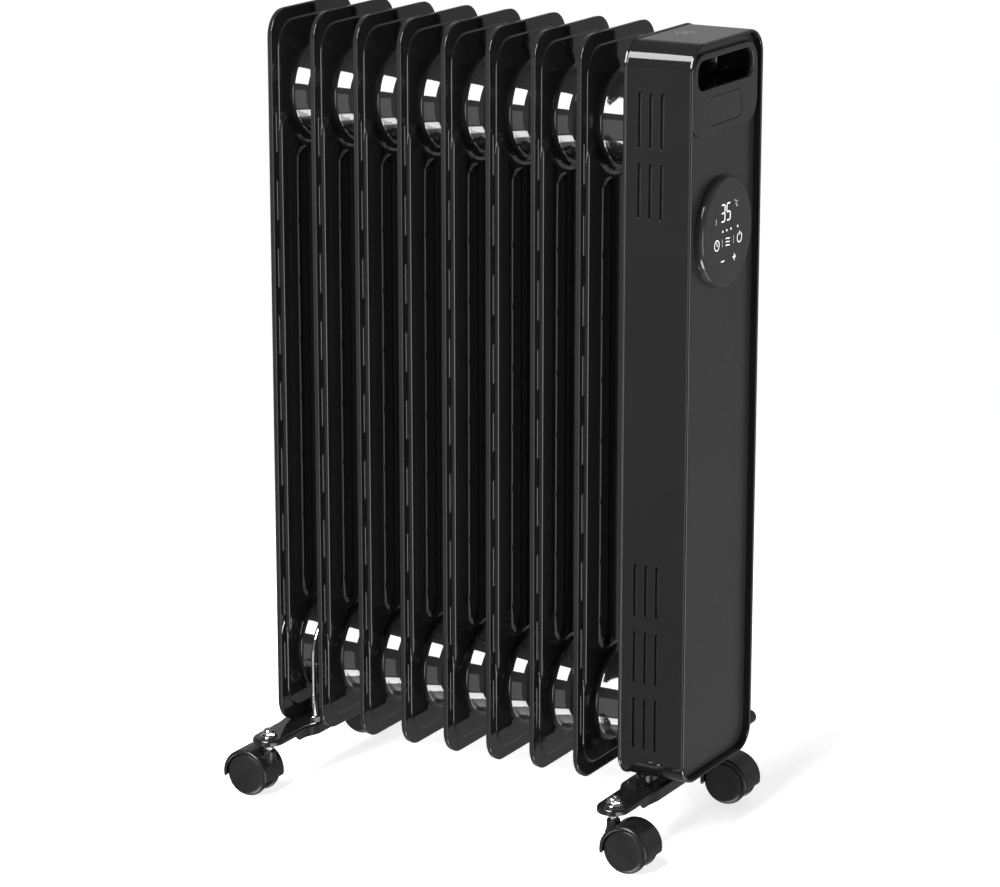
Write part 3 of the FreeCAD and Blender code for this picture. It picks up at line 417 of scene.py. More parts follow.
def pressing(y, z):
    """Height of one pressed sheet over its flat band."""
    face = ease(-rounded_distance(y, z, *FACE_STEP) / FACE_SLOPE)
    channels = ease(-rounded_distance(y, z, *CHANNELS) / CHANNEL_SLOPE)
    valley = ease(-rounded_distance(np.abs(y) - VALLEY_Y, z, *VALLEY) / VALLEY_SLOPE)
    boss = np.zeros_like(y)
    for level in HEADER_LEVELS:
        reach = np.hypot(y, z - level)
        channels = channels * ease((reach - BOSS_MOAT) / MOAT_SLOPE)
        boss = boss + np.where(reach < BOSS_BASE,
                               flare_height(np.maximum(reach, BOSS_BASE - 3.2)), 0.0)
    dimples = np.zeros_like(y)
    for step in range(DIMPLE_COUNT):
        spot = DIMPLE_TOP - DIMPLE_PITCH * step
        away = np.hypot((np.abs(y) - DIMPLE_Y) / DIMPLE_WIDTH, (z - spot) / DIMPLE_LENGTH)
        dimples = dimples + DIMPLE_DEPTH * np.exp(-away * away)
    sheet = np.maximum(FACE_RISE * face, CHANNEL_RISE * channels)
    return sheet * (1 - valley) + VALLEY_RISE * valley + boss - dimples


def graded(*parts):
    """Sorted positions from (start, end, step) stretches."""
    values = []
    for start, end, step in parts:
        count = max(1, round((end - start) / step))
        values += [start + (end - start) * index / count for index in range(count)]
    return values + [parts[-1][1]]


# The face's grid is finest where the sheet bends: at its edge, the channels and the dimples
corner_steps = (0.0, 0.5, 0.8, 1.1, 1.4, 1.7, 2.0, 2.4, 2.8, 3.2, 3.6, 4.1, 4.5, 4.9, 5.3, 5.8,
                7.0, 9.0, 11.7, 15.5, 19.7, 24.0)
half_columns = [0, 3.5, 7.2, 8.9, 9.7, 10.5, 11.5, 13.5, 18.7, 23.6, 25.6, 26.6, 27.5, 28.6,
                31.6]
half_columns += [FACE_HALF - step for step in corner_steps[-2::-1]]
COLUMNS = np.array([-value for value in half_columns[:0:-1]] + half_columns)
inner_rows = graded((81.0, 146.0, 2.3), (146.0, 156.0, 1.0))[:-1]
for spot_index in range(DIMPLE_COUNT - 1, -1, -1):
    spot_level = DIMPLE_TOP - DIMPLE_PITCH * spot_index
    inner_rows += [inner_rows[-1] / 2 + (spot_level - 4.5) / 2]
    inner_rows += [spot_level + shift for shift in (-4.5, -2.2, -0.8, 0.8, 2.2, 4.5)]
inner_rows += [488.0] + graded((512.0, 523.0, 1.0), (523.0, 599.0, 2.3))
ROWS = np.array([FACE_LOW + step for step in corner_steps[:-1]] + inner_rows
                + [FACE_TOP - step for step in corner_steps[-2::-1]])


def face_grid():
    """Grid points of the face, with the square corner blocks bent into quarter discs."""
    y, z = np.meshgrid(COLUMNS, ROWS)
    core_y = FACE_HALF - FACE_CORNER
    middle = (FACE_TOP + FACE_LOW) / 2
    core_z = (FACE_TOP - FACE_LOW) / 2 - FACE_CORNER
    a = np.maximum(np.abs(y) - core_y, 0) / FACE_CORNER
    b = np.maximum(np.abs(z - middle) - core_z, 0) / FACE_CORNER
    length = np.maximum(np.hypot(a, b), 1e-9)
    scale = np.where((a > 0) & (b > 0), np.maximum(a, b) / length, 1.0)
    bent_y = np.sign(y) * (np.minimum(np.abs(y), core_y) + a * scale * FACE_CORNER)
    bent_z = middle + np.sign(z - middle) * (np.minimum(np.abs(z - middle), core_z)
                                             + b * scale * FACE_CORNER)
    return bent_y, bent_z


def border(grid):
    """The outside points of a grid, in order round it."""
    return np.concatenate([grid[0, :-1], grid[:-1, -1], grid[-1, :0:-1], grid[:0:-1, 0]])


def outward(y, z):
    """For points of the face's outline, the matching points of the fin's outline."""
    core_y, core_z = FACE_HALF - FACE_CORNER, (FACE_TOP - FACE_LOW) / 2 - FACE_CORNER
    middle = (FACE_TOP + FACE_LOW) / 2
    over_y = np.maximum(np.abs(y) - core_y, 0)
    over_z = np.maximum(np.abs(z - middle) - core_z, 0)
    angle = np.arctan2(over_z, over_y)
    out_y, out_z = FIN_HALF - FIN_CORNER, (FIN_TOP - FIN_LOW) / 2 - FIN_CORNER
    base_y = np.minimum(np.abs(y), core_y) / core_y * out_y
    base_z = np.minimum(np.abs(z - middle), core_z) / core_z * out_z
    return (np.sign(y) * (base_y + FIN_CORNER * np.where(over_y > 0, np.cos(angle), 0)),
            (FIN_TOP + FIN_LOW) / 2 + np.sign(z - middle)
            * (base_z + FIN_CORNER * np.where(over_z > 0, np.sin(angle), 0)))


# The flat band outside the face, as shares of the way from the face's outline to the fin's, and
# the rolled lip in section, as insets from the fin's outline with the distance x
BAND_SHARES = (0.0, 0.35, 0.7)
LIP_FRONT = ((1.5, 4.2), (0.5, 4.18), (0.18, 4.05), (0.03, 3.85), (0.0, 3.6))
LIP_BACK = ((0.04, 3.4), (0.44, 0.9), (0.48, 0.65), (0.62, 0.25), (0.9, 0.0), (1.25, 0.2),
            (1.4, 0.7), (1.45, 2.2), (1.8, 2.8))


def flare_profile():
    """Radius and height over the weld of the dished boss, from its base to its neck."""
    profile = []
    for step in range(3, 12):
        angle = math.pi / 2 * step / 12
        profile.append((BOSS_BASE - (BOSS_BASE - BOSS_NECK) * math.sin(angle),
                        SHEET + FACE_RISE + BOSS_FLARE * (1 - math.cos(angle))))
    return profile


def boss_profile(sign, reach):
    """Radius and x of a boss from its base to the joint at a distance from WELD."""
    profile = flare_profile()
    start = profile[-1][1]
    for share in (0.12, 0.5, 0.95):
        profile.append((BOSS_NECK + (BOSS_END - BOSS_NECK) * share,
                        start + (reach - start) * share))
    profile.append((BOSS_END - 0.9, reach))
    return [(radius, WELD + sign * x) for radius, x in profile]


def cap_profile():
    """The closed rear boss of fin 1, ending in a flat disc."""
    profile = flare_profile() + [(33.4, 7.4), (32.6, 8.6), (31.4, 9.4), (29.4, 10.0),
                                 (20.0, 10.0), (12.0, 9.4), (0.6, 9.4)]
    return [(radius, WELD - x) for radius, x in profile]


def fin_mesh(name, number):
    shape = Shape()
    y, z = face_grid()
    rows, columns = y.shape
    height = pressing(y, z)
    reach = np.minimum(*(np.hypot(y, z - level) for level in HEADER_LEVELS))
    edge_y, edge_z = border(y), border(z)
    out_y, out_z = outward(edge_y, edge_z)
    tangent_y = np.roll(out_y, -1) - np.roll(out_y, 1)
    tangent_z = np.roll(out_z, -1) - np.roll(out_z, 1)
    length = np.hypot(tangent_y, tangent_z)
    normal_y, normal_z = tangent_z / length, -tangent_y / length

    covered = reach < BOSS_BASE - BOSS_OVERLAP
    for sign in (1, -1):
        x = WELD + sign * (SHEET + height)
        ids = np.array(shape.ring(zip(x.ravel(), y.ravel(), z.ravel()))).reshape(rows, columns)
        for row in range(rows - 1):
            for column in range(columns - 1):
                if covered[row:row + 2, column:column + 2].all():
                    continue
                shape.faces.append((ids[row, column], ids[row, column + 1],
                                    ids[row + 1, column + 1], ids[row + 1, column]))

    def lip_ring(inset, x, share=1.0):
        start_y, start_z = out_y - normal_y * inset, out_z - normal_z * inset
        return list(zip(np.full_like(out_y, x), edge_y + (start_y - edge_y) * share,
                        edge_z + (start_z - edge_z) * share))

    front = [lip_ring(LIP_FRONT[0][0], WELD + SHEET, share) for share in BAND_SHARES]
    back = [lip_ring(LIP_BACK[-1][0], WELD - SHEET, share) for share in BAND_SHARES[::-1]]
    shape.loft(front + [lip_ring(*point) for point in LIP_FRONT + LIP_BACK] + back)

    to_next = FIN_PITCH / 2
    to_housing = SHELL_BACK - LAST_FIN_X - WELD
    front_boss = boss_profile(1, to_housing if number == FIN_COUNT else to_next)
    back_boss = cap_profile() if number == 1 else boss_profile(-1, to_next)
    for level in HEADER_LEVELS:
        shape.turned(front_boss, (0, 0, level), "x", BOSS_STEPS)
        shape.turned(back_boss, (0, 0, level), "x", BOSS_STEPS)

    for side in (-1, 1):
        for step in range(OVAL_COUNT):
            middle = OVAL_TOP - OVAL_PITCH * step
            oval = [(side * OVAL_Y + py * OVAL_HALF, pz) for py, pz in
                    stadium(1.0, middle - OVAL_REACH, middle + OVAL_REACH)]
            rings = []
            for inset, rise in ((-0.1, -0.1), (0.15, 0.35), (0.4, 0.7), (0.7, 0.8)):
                share = 1 - inset / OVAL_HALF
                rings.append([(WELD + SHEET + rise, side * OVAL_Y + (py - side * OVAL_Y) * share,
                               middle + (pz - middle) * (1 - inset / OVAL_REACH))
                              for py, pz in oval])
            shape.cap(shape.loft(rings)[-1])
    return shape.make(name, smooth_angle=50, weighted=False)


def stadium(half_width, bottom, top, steps=8):
    """An oval's outline, drawn with round ends of radius OVAL_HALF."""
    points = []
    for turn, level in ((0, top - OVAL_HALF), (1, bottom + OVAL_HALF)):
        for index in range(steps + 1):
            angle = math.pi * (turn + index / steps)
            points.append((math.cos(angle) * half_width, level + OVAL_HALF * math.sin(angle)))
    return points


middle_fin = fin_mesh("fin_middle", 2)
for fin in range(1, FIN_COUNT + 1):
    fin_data = fin_mesh(f"fin_end_{fin}", fin) if fin in (1, FIN_COUNT) else middle_fin
    piece(fin_data, f"fin_sheet_{fin}", "fin_paint", replaces=[f"fin_{fin}"],
          place=(FIRST_FIN_X + FIN_PITCH * (fin - 1), 0, 0))


# ---- Control housing

SHELL = (59.2, 61.3, 629.2, 20.0)
SHELL_WALL = 2.5
SLOT_COLUMNS = (153.0, 162.2, 171.4)
SLOT_ROWS = (108.2, 161.0, 214.0, 520.2, 572.5)
SLOT_HALF_WIDTH, SLOT_HALF_HEIGHT = 1.3, 20.7


def slot_loop(x, z, grow=0.0, steps=6):
    radius = SLOT_HALF_WIDTH + grow
    reach = SLOT_HALF_HEIGHT - SLOT_HALF_WIDTH
    points = []
    for turn, level in ((0, z + reach), (1, z - reach)):
        for step in range(steps + 1):
            angle = math.pi * (turn + step / steps)
            points.append((x + radius * math.cos(angle), level + radius * math.sin(angle)))
    return points


def housing():
    shape = Shape()
    wall_start, wall_end = 142.6, 193.4
    back = [(0.5, SHELL_BACK), (-0.35, 139.65), (-0.8, 140.2), (-0.8, 141.5), (-0.45, 142.0),
            (-0.05, 142.2), (0.0, wall_start)]
    front = [(0.0, wall_end), (0.12, 194.4), (0.45, 195.25), (0.95, 195.7), (1.4, 195.8),
             (1.9, 195.7), (2.3, 195.4), (SHELL_WALL, 194.8)]
    inner = [(SHELL_WALL, wall_end), (SHELL_WALL, wall_start)]
    # The two upright sides of the wall stay open here, and are filled with slotted plates
    corner_points = 13
    sides = {corner_points * 4 - 1, corner_points * 2 - 1}
    back_rows = shape.loft(rims(SHELL, back))
    front_rows = shape.loft(rims(SHELL, front))
    lining = shape.loft(rims(SHELL, inner), skip=sides)
    shape.bridge(back_rows[-1], front_rows[0], skip=sides)
    shape.bridge(front_rows[-1], lining[0])
    shape.cap(back_rows[0])
    shape.cap(lining[-1])
    low_z, high_z = SHELL[1] + SHELL[3], SHELL[2] - SHELL[3]
    frame_loop = [(wall_start, low_z), (wall_end, low_z), (wall_end, high_z),
                  (wall_start, high_z)]
    slots = [(x, z) for x in SLOT_COLUMNS for z in SLOT_ROWS]
    for side in (-1, 1):
        outer, inner_y = side * SHELL[0], side * (SHELL[0] - SHELL_WALL)
        shape.fill([frame_loop] + [slot_loop(x, z, 0.42) for x, z in slots],
                   lambda point: (point[0], outer, point[1]))
        shape.fill([frame_loop] + [slot_loop(x, z) for x, z in slots],
                   lambda point: (point[0], inner_y, point[1]))
        for x, z in slots:
            shape.loft([
                [(px, side * (SHELL[0] - depth), pz) for px, pz in slot_loop(x, z, grow)]
                for grow, depth in ((0.42, 0.0), (0.14, 0.12), (0.0, 0.42), (0.0, SHELL_WALL))
            ])
    return shape.make("housing_skin")


piece(housing(), "housing_skin", "gloss_black", replaces=["housing_shell"])

# Painted shade: a dark sheet with a fine grain close behind the slots, standing in for the shade
# inside the housing
SHADE_SHEET_X, SHADE_SHEET_HALF = SLOT_COLUMNS[1], 17.0
for number, (side, bottom, top) in enumerate(((-1, 82.0, 240.0), (-1, 494.0, 598.0),
                                              (1, 82.0, 240.0), (1, 494.0, 598.0))):
    middle_z, half_z = (top + bottom) / 2, (top - bottom) / 2
    shade_sheet = Shape()
    shade_sheet.closed([
        [(SHADE_SHEET_X + y * (1 - inset / SHADE_SHEET_HALF), side * depth,
          middle_z + (z - middle_z) * (1 - inset / half_z))
         for y, z in rounded(SHADE_SHEET_HALF, bottom, top, 4.0, 6)]
        for inset, depth in ((0.4, 56.2), (0.0, 56.0), (0.0, 55.6), (0.4, 55.4))])
    piece(shade_sheet.make(f"slot_shade_sheet_{number}"), f"slot_shade_sheet_{number}", "shade_sheet_black")

# Short legs that stand on the front bracket
for index, side in enumerate((-35.0, 35.0)):
    leg = Shape()
    leg_rows = leg.turned(((5.6, 50.0), (6.3, 50.3), (6.5, 51.0), (6.5, 58.5), (7.1, 60.4),
                           (8.6, 61.6)), (FRONT_STEM_X, side, 0), "z", 40)
    leg.cap(leg_rows[0])
    piece(leg.make(f"housing_leg_{index}"), f"housing_leg_{index}", "gloss_black")

# Front plate: a flat field with a softened edge, its hand hole hidden behind the surround
PANEL = (56.4, 64.1, 626.4, 17.2)
PANEL_BACK, PANEL_FRONT = 187.8, 190.3
HAND = (46.0, 594.0, 616.0, 9.0)
hole = inset_rounded(*HAND, -1.5)
panel_shape = Shape()
panel_shape.loft(rims(PANEL, ((0.0, PANEL_BACK), (0.0, 189.7), (0.2, 190.15),
                              (0.6, PANEL_FRONT))))
for inset, x in ((0.6, PANEL_FRONT), (0.0, PANEL_BACK)):
    panel_shape.fill([inset_rounded(*PANEL, inset), hole],
                     lambda point: (x, point[0], point[1]))
panel_shape.loft([at_x(PANEL_FRONT, hole), at_x(PANEL_BACK, hole)])
piece(panel_shape.make("panel_face"), "panel_face", "panel_grey", replaces=["front_panel"])

# Handle surround with the hand opening and the shallow seat of the badge
SURROUND = (54.0, 559.5, 621.0, 18.0)
SURROUND_FRONT, BADGE_SEAT = 194.0, 192.8
BADGE = (26.5, 566.0, 587.5, 6.0)
surround_shape = Shape()
surround_shape.loft(rims(SURROUND, ((0.0, PANEL_FRONT), (0.0, 192.2), (0.15, 193.0),
                                    (0.6, 193.7), (1.3, SURROUND_FRONT))))
surround_shape.loft(rims(HAND, ((-1.4, SURROUND_FRONT), (-0.7, 193.8), (-0.15, 193.2),
                                (0.0, 192.4), (0.0, 188.0))))
surround_shape.loft(rims(BADGE, ((-0.35, SURROUND_FRONT), (-0.08, 193.9), (0.0, 193.6),
                                 (0.0, BADGE_SEAT))))
surround_shape.fill([inset_rounded(*SURROUND, 1.3), inset_rounded(*HAND, -1.4),
                     inset_rounded(*BADGE, -0.35)],
                    lambda point: (SURROUND_FRONT, point[0], point[1]))
surround_shape.cap(surround_shape.ring(at_x(BADGE_SEAT, inset_rounded(*BADGE, 0.0))))
piece(surround_shape.make("surround_frame"), "surround_frame", "panel_grey",
      replaces=["handle_surround"])

badge_shape = Shape()
badge_rows = badge_shape.loft(rims(BADGE, ((0.3, BADGE_SEAT), (0.3, 193.45), (0.45, 193.7),
                                           (0.8, 193.8))))
badge_shape.cap(badge_rows[-1])
piece(badge_shape.make("badge_face"), "badge_face", "badge_satin", replaces=["badge_plate"])

# Deep finger cup behind the opening
cup_shape = Shape()
for profile in (((-2.0, 190.2), (0.0, 190.2), (0.05, 166.5), (0.6, 164.0), (1.8, 162.7),
                 (3.6, 162.3)),
                ((-2.0, 190.2), (-2.0, 161.5), (-0.5, 160.3))):
    cup_shape.cap(cup_shape.loft(rims(HAND, profile))[-1])
piece(cup_shape.make("finger_cup"), "finger_cup", "pocket_black", replaces=["handle_pocket"])

# Generic ring pressed into the housing's top
ring_shape = Shape()
RING_CENTRE = (160.0, 0.0, 0.0)
ring_shape.turned(((6.3, 629.22), (6.45, 629.36), (6.9, 629.4), (7.35, 629.36), (7.5, 629.22)),
                  RING_CENTRE, "z", 64)
dot_rows = ring_shape.turned(((2.6, 629.22), (2.5, 629.34), (2.2, 629.38)), RING_CENTRE, "z", 32)
ring_shape.cap(dot_rows[-1])
piece(ring_shape.make("top_ring"), "top_ring", "ring_grey")

# Touch disc and its lit marks
DISC_Z, DISC_FRONT = 483.0, 197.3
disc_shape = Shape()
disc_rows = disc_shape.turned(((42.3, 190.3), (42.5, 190.8), (42.45, 191.6), (42.1, 193.4),
                               (41.55, 195.2), (41.1, 196.2), (40.6, 196.8), (39.9, 197.15),
                               (39.2, 197.28), (38.2, DISC_FRONT), (20.0, DISC_FRONT),
                               (0.5, DISC_FRONT)), (0, 0, DISC_Z), "x", 96)
disc_shape.cap(disc_rows[-1])
piece(disc_shape.make("touch_disc"), "touch_disc", "lens_black", replaces=["touch_lens"])


class Marks(Shape):
    """Thin raised marks on the touch disc, laid out from its middle."""

    BASE, TOP = DISC_FRONT - 0.02, DISC_FRONT + 0.07

    def outline(self, loop):
        low_row = self.ring([(self.BASE, y, DISC_Z + z) for y, z in loop])
        top_row = self.ring([(self.TOP, y, DISC_Z + z) for y, z in loop])
        self.bridge(low_row, top_row)
        self.cap(top_row)

    def bar(self, start, end, width):
        """A stroke with pointed ends, as the segments of a display have."""
        (ay, az), (by, bz) = start, end
        length = math.hypot(by - ay, bz - az)
        uy, uz = (by - ay) / length, (bz - az) / length
        h = width / 2
        self.outline([(ay, az), (ay + uy * h - uz * h, az + uz * h + uy * h),
                      (by - uy * h - uz * h, bz - uz * h + uy * h), (by, bz),
                      (by - uy * h + uz * h, bz - uz * h - uy * h),
                      (ay + uy * h + uz * h, az + uz * h - uy * h)])

    def arc(self, centre, radius, width, start, end, steps=28):
        angles = [math.radians(start + (end - start) * step / steps)
                  for step in range(steps + 1)]
        loops = [[(centre[0] + r * math.cos(a), centre[1] + r * math.sin(a)) for a in angles]
                 for r in (radius - width / 2, radius + width / 2)]
        rows = [self.ring([(x, y, DISC_Z + z) for y, z in loop])
                for loop, x in ((loops[0], self.BASE), (loops[0], self.TOP),
                                (loops[1], self.TOP), (loops[1], self.BASE))]
        for first, second in zip(rows, rows[1:]):
            self.bridge(first, second, closed=False)

    def wave(self, centre, width, height, stroke, steps=20):
        points = [(centre[0] + width * (step / steps - 0.5),
                   centre[1] + height * math.sin(2 * math.pi * step / steps))
                  for step in range(steps + 1)]
        upper = [(y, z + stroke / 2) for y, z in points]
        lower = [(y, z - stroke / 2) for y, z in points]
        self.outline(lower + upper[::-1])


SEGMENTS = {
    "top": ((-1, 1), (1, 1)), "middle": ((-1, 0), (1, 0)), "bottom": ((-1, -1), (1, -1)),
    "upper_left": ((-1, 0), (-1, 1)), "upper_right": ((1, 0), (1, 1)),
    "lower_left": ((-1, -1), (-1, 0)), "lower_right": ((1, -1), (1, 0)),
}
DIGITS = {
    3: ("top", "middle", "bottom", "upper_right", "lower_right"),
    5: ("top", "middle", "bottom", "upper_left", "lower_right"),
}


def draw_digit(marks, digit, centre, half_width, half_height, stroke):
    for name in DIGITS[digit]:
        (ay, az), (by, bz) = SEGMENTS[name]
        start = Vector((centre[0] + ay * half_width, centre[1] + az * half_height))
        end = Vector((centre[0] + by * half_width, centre[1] + bz * half_height))
        gap = (end - start).normalized() * 0.28
        marks.bar(tuple(start + gap), tuple(end - gap), stroke)


bright = Marks()
for digit, digit_y in ((3, -8.6), (5, 0.4)):
    draw_digit(bright, digit, (digit_y, 15.8), 2.9, 6.3, 1.05)
for dot_y in (-8.9, -2.2, 4.8, 16.2):
    bright.arc((dot_y, 1.9), 0.45, 0.9, 0, 360, 16)
for level in (-4.4, -7.0, -9.6):
    bright.wave((-0.3, level), 6.6, 0.35, 0.75)
bright.bar((-11.0, -20.7), (-5.4, -20.7), 0.9)
bright.bar((8.4, -20.5), (14.0, -20.5), 0.9)
bright.bar((11.2, -23.3), (11.2, -17.7), 0.9)
bright.arc((-18.4, -7.0), 3.9, 0.7, 0, 360)
bright.bar((-18.4, -7.2), (-18.4, -4.2), 0.6)
bright.bar((-18.5, -7.0), (-16.4, -7.9), 0.6)
bright.arc((19.6, -7.0), 3.8, 0.7, 120, 420)
bright.bar((19.6, -5.4), (19.6, -2.0), 0.7)
piece(bright.make("display_marks"), "display_marks", "mark_bright")
dim = Marks()
dim.arc((14.8, 19.6), 1.9, 0.7, 50, 310)
dim.arc((11.4, 22.4), 0.7, 0.4, 0, 360, 16)
dim.bar((-9.4, -3.6), (-9.4, -10.2), 0.45)
dim.bar((9.6, -3.6), (9.6, -10.2), 0.45)
dim.bar((-20.0, 8.4), (-20.0, 13.4), 0.8)
piece(dim.make("display_marks_dim"), "display_marks_dim", "mark_dim")


# ---- Foot brackets

TIP_HALF, TIE_HALF, PLAIN_HALF = 13.0, 18.0, 15.0
BRACKET_TOP, BRACKET_UNDER = 50.0, 48.0
TIE_OFFSET, TIE_Y, TIE_HOLE, TIE_ROD = 12.3, 37.0, 2.5, 2.2


def bracket_half_width(y, wide):
    """Half the width of one side, which widens from the tips towards the middle."""
    share = float(ease(np.array((54.0 - abs(y)) / 16.0)))
    return TIP_HALF + (wide - TIP_HALF) * share


def flange_bottom(y):
    """Level of the flange's lower edge, which is deeper between the casters."""
    share = float(ease(np.array((66.0 - abs(y)) / 6.0)))
    return 45.0 - 4.5 * share


def bracket_outline(tie_side):
    """The outline from above as (x, y) about the stems' line, wider on the tie's side."""
    levels = [STEM_Y * step / 43 for step in range(-43, 44)]
    wide = {tie_side: TIE_HALF, -tie_side: PLAIN_HALF}
    outline = []
    for side in (1, -1):
        outline += [(side * bracket_half_width(y, wide[side]), y) for y in levels[::side]]
        outline += [(side * TIP_HALF * math.cos(angle), side * (STEM_Y + TIP_HALF
                                                                * math.sin(angle)))
                    for angle in (math.pi * step / 16 for step in range(1, 16))]
    return outline


def bracket(name, stem_x, tie_side, node):
    shape = Shape()
    outline = bracket_outline(tie_side)

    def ring(inset, height):
        """Height is a number, or the distance above the flange's lower edge in a tuple."""
        loop = shrink(outline, inset)
        if isinstance(height, tuple):
            return [(stem_x + x, y, flange_bottom(oy) + height[0])
                    for (x, y), (_, oy) in zip(loop, outline)]
        return [(stem_x + x, y, height) for x, y in loop]

    rings = [ring(2.4, BRACKET_TOP), ring(1.5, 49.82), ring(0.7, 49.3), ring(0.2, 48.5),
             ring(0.0, 47.6), ring(0.0, (0.35,)), ring(0.25, (0.05,)), ring(0.9, (0.0,)),
             ring(1.6, (0.1,)), ring(1.9, (0.4,)), ring(2.0, 47.4), ring(2.6, BRACKET_UNDER)]
    shape.loft(rings)
    holes = [[(stem_x + tie_side * TIE_OFFSET + TIE_HOLE * math.cos(a),
               side * TIE_Y + TIE_HOLE * math.sin(a))
              for a in (2 * math.pi * step / 24 for step in range(24))] for side in (-1, 1)]
    for level, loop in ((BRACKET_TOP, rings[0]), (BRACKET_UNDER, rings[-1])):
        shape.fill([[(x, y) for x, y, _ in loop]] + holes,
                   lambda point: (point[0], point[1], level))
    for hole_loop in holes:
        shape.loft([[(x, y, level) for x, y in hole_loop]
                    for level in (BRACKET_TOP, BRACKET_UNDER)])
    for side in (-1, 1):
        # Round pressed seat under each nut
        shape.turned(((11.2, 49.9), (10.6, 50.02), (8.2, 50.02), (7.4, 49.9)),
                     (stem_x, side * STEM_Y, 0), "z", 48)
    piece(shape.make(name), name, "bracket_paint", replaces=[node])


bracket("rear_bracket", REAR_STEM_X, 1, "rear_foot_bracket")
bracket("front_bracket", FRONT_STEM_X, -1, "front_foot_bracket")


def hex_body(shape, centre, circumradius, bottom, top, chamfer=0.7, turn=0.0):
    """A hexagon with the round chamfer that nuts have on their upper corners."""
    across = circumradius * math.cos(math.pi / 6)
    rings = []
    for z, limit in ((bottom, circumradius), (top - chamfer, circumradius),
                     (top - chamfer * 0.5, circumradius - (circumradius - across) * 0.6),
                     (top, across - 0.15)):
        ring = []
        for step in range(36):
            angle = 2 * math.pi * step / 36
            sector = (angle + math.pi / 6) % (math.pi / 3) - math.pi / 6
            flat = across / math.cos(sector) if abs(sector) < math.pi / 6 + 1e-6 else across
            radius = min(flat, limit)
            ring.append((centre[0] + radius * math.cos(angle + turn),
                         centre[1] + radius * math.sin(angle + turn), z))
        rings.append(ring)
    shape.closed(rings)


def cap_nut(shape, x, y):
    """A flanged dome nut on the stem."""
    rows = shape.turned(((6.2, 50.0), (6.9, 50.15), (7.0, 50.5), (6.8, 50.9), (5.9, 51.2)),
                        (x, y, 0), "z", 48)
    shape.cap(rows[0])
    hex_body(shape, (x, y), 6.0, 51.0, 53.6, 0.6, turn=0.35)
    dome = [(4.95, 53.4), (4.9, 54.0), (4.55, 55.0), (3.8, 55.9), (2.7, 56.55), (1.4, 56.92),
            (0.3, 57.0)]
    rows = shape.turned(dome, (x, y, 0), "z", 40)
    shape.cap(rows[-1])


nuts, stems, locks = Shape(), Shape(), Shape()
for corner in CORNERS:
    stem_x = REAR_STEM_X if corner.startswith("rear") else FRONT_STEM_X
    stem_y = STEM_Y if corner.endswith("left") else -STEM_Y
    cap_nut(nuts, stem_x, stem_y)
    stem_rows = stems.turned(((2.4, 22.3), (3.0, 23.0), (3.0, 39.6), (3.9, 39.8), (4.1, 40.2),
                              (4.1, 41.0), (3.9, 41.4), (3.0, 41.6), (3.0, 54.6)),
                             (stem_x, stem_y, 0), "z", 32)
    stems.cap(stem_rows[0])
    hex_body(locks, (stem_x, stem_y), 5.8, 43.0, 48.0, 0.6, turn=0.2)
piece(nuts.make("dome_nuts", 30), "dome_nuts", "chrome_plate", replaces=["caster_cap_nuts"])
piece(stems.make("stem_bars"), "stem_bars", "chrome_plate", replaces=["caster_stems"])
piece(locks.make("lock_nuts", 30), "lock_nuts", "zinc_steel", replaces=["caster_lock_nuts"])

# U-bolt that ties the rear bracket to the lower header
TIE_X = REAR_STEM_X + TIE_OFFSET
ARCH_Z = high("u_bolt")[2] - TIE_Y - TIE_ROD
ubolt = Shape()
leg_levels = graded((39.6, ARCH_Z, 12.0))[:-1]
route = [(TIE_X, -TIE_Y, z) for z in leg_levels]
route += [(TIE_X, -TIE_Y * math.cos(math.pi * step / 40),
           ARCH_Z + TIE_Y * math.sin(math.pi * step / 40)) for step in range(41)]
route += [(TIE_X, TIE_Y, z) for z in leg_levels[::-1]]
ubolt.tube(route, TIE_ROD, 24)
piece(ubolt.make("tie_bolt"), "tie_bolt", "chrome_plate", replaces=["u_bolt"])
tie_nuts = Shape()
for side in (-1, 1):
    for bottom, top in ((50.0, 54.4), (43.6, 48.0)):
        hex_body(tie_nuts, (TIE_X, side * TIE_Y), 4.6, bottom, top, 0.5, turn=0.3 * side)
piece(tie_nuts.make("tie_nuts", 30), "tie_nuts", "chrome_plate", replaces=["u_bolt_nuts"])


# ---- Casters

AXLE_Z, HOOD_R, SKIRT_DROP, TRAIL = 18.4, 20.5, 4.3, 15.0


def wheel(name, x, y, sign, body, node):
    """One disc wheel: a plain face towards sign in y, and a rounded tread."""
    face = [(0.6, 12.85), (6.0, 12.85), (11.0, 12.85), (14.2, 12.8), (15.3, 12.6),
            (16.2, 12.2), (17.0, 11.6), (17.7, 10.8), (18.2, 9.9), (18.38, 9.2), (18.4, 8.8),
            (18.3, 7.9), (17.9, 7.1), (17.2, 6.6), (16.0, 6.5), (4.0, 6.5)]
    shape = Shape()
    rows = shape.turned([(radius, sign * depth) for radius, depth in face],
                        (x, y, AXLE_Z), "y", 72)
    shape.cap(rows[0])
    piece(shape.make(name), name, "wheel_plastic", body=body, replaces=[node])


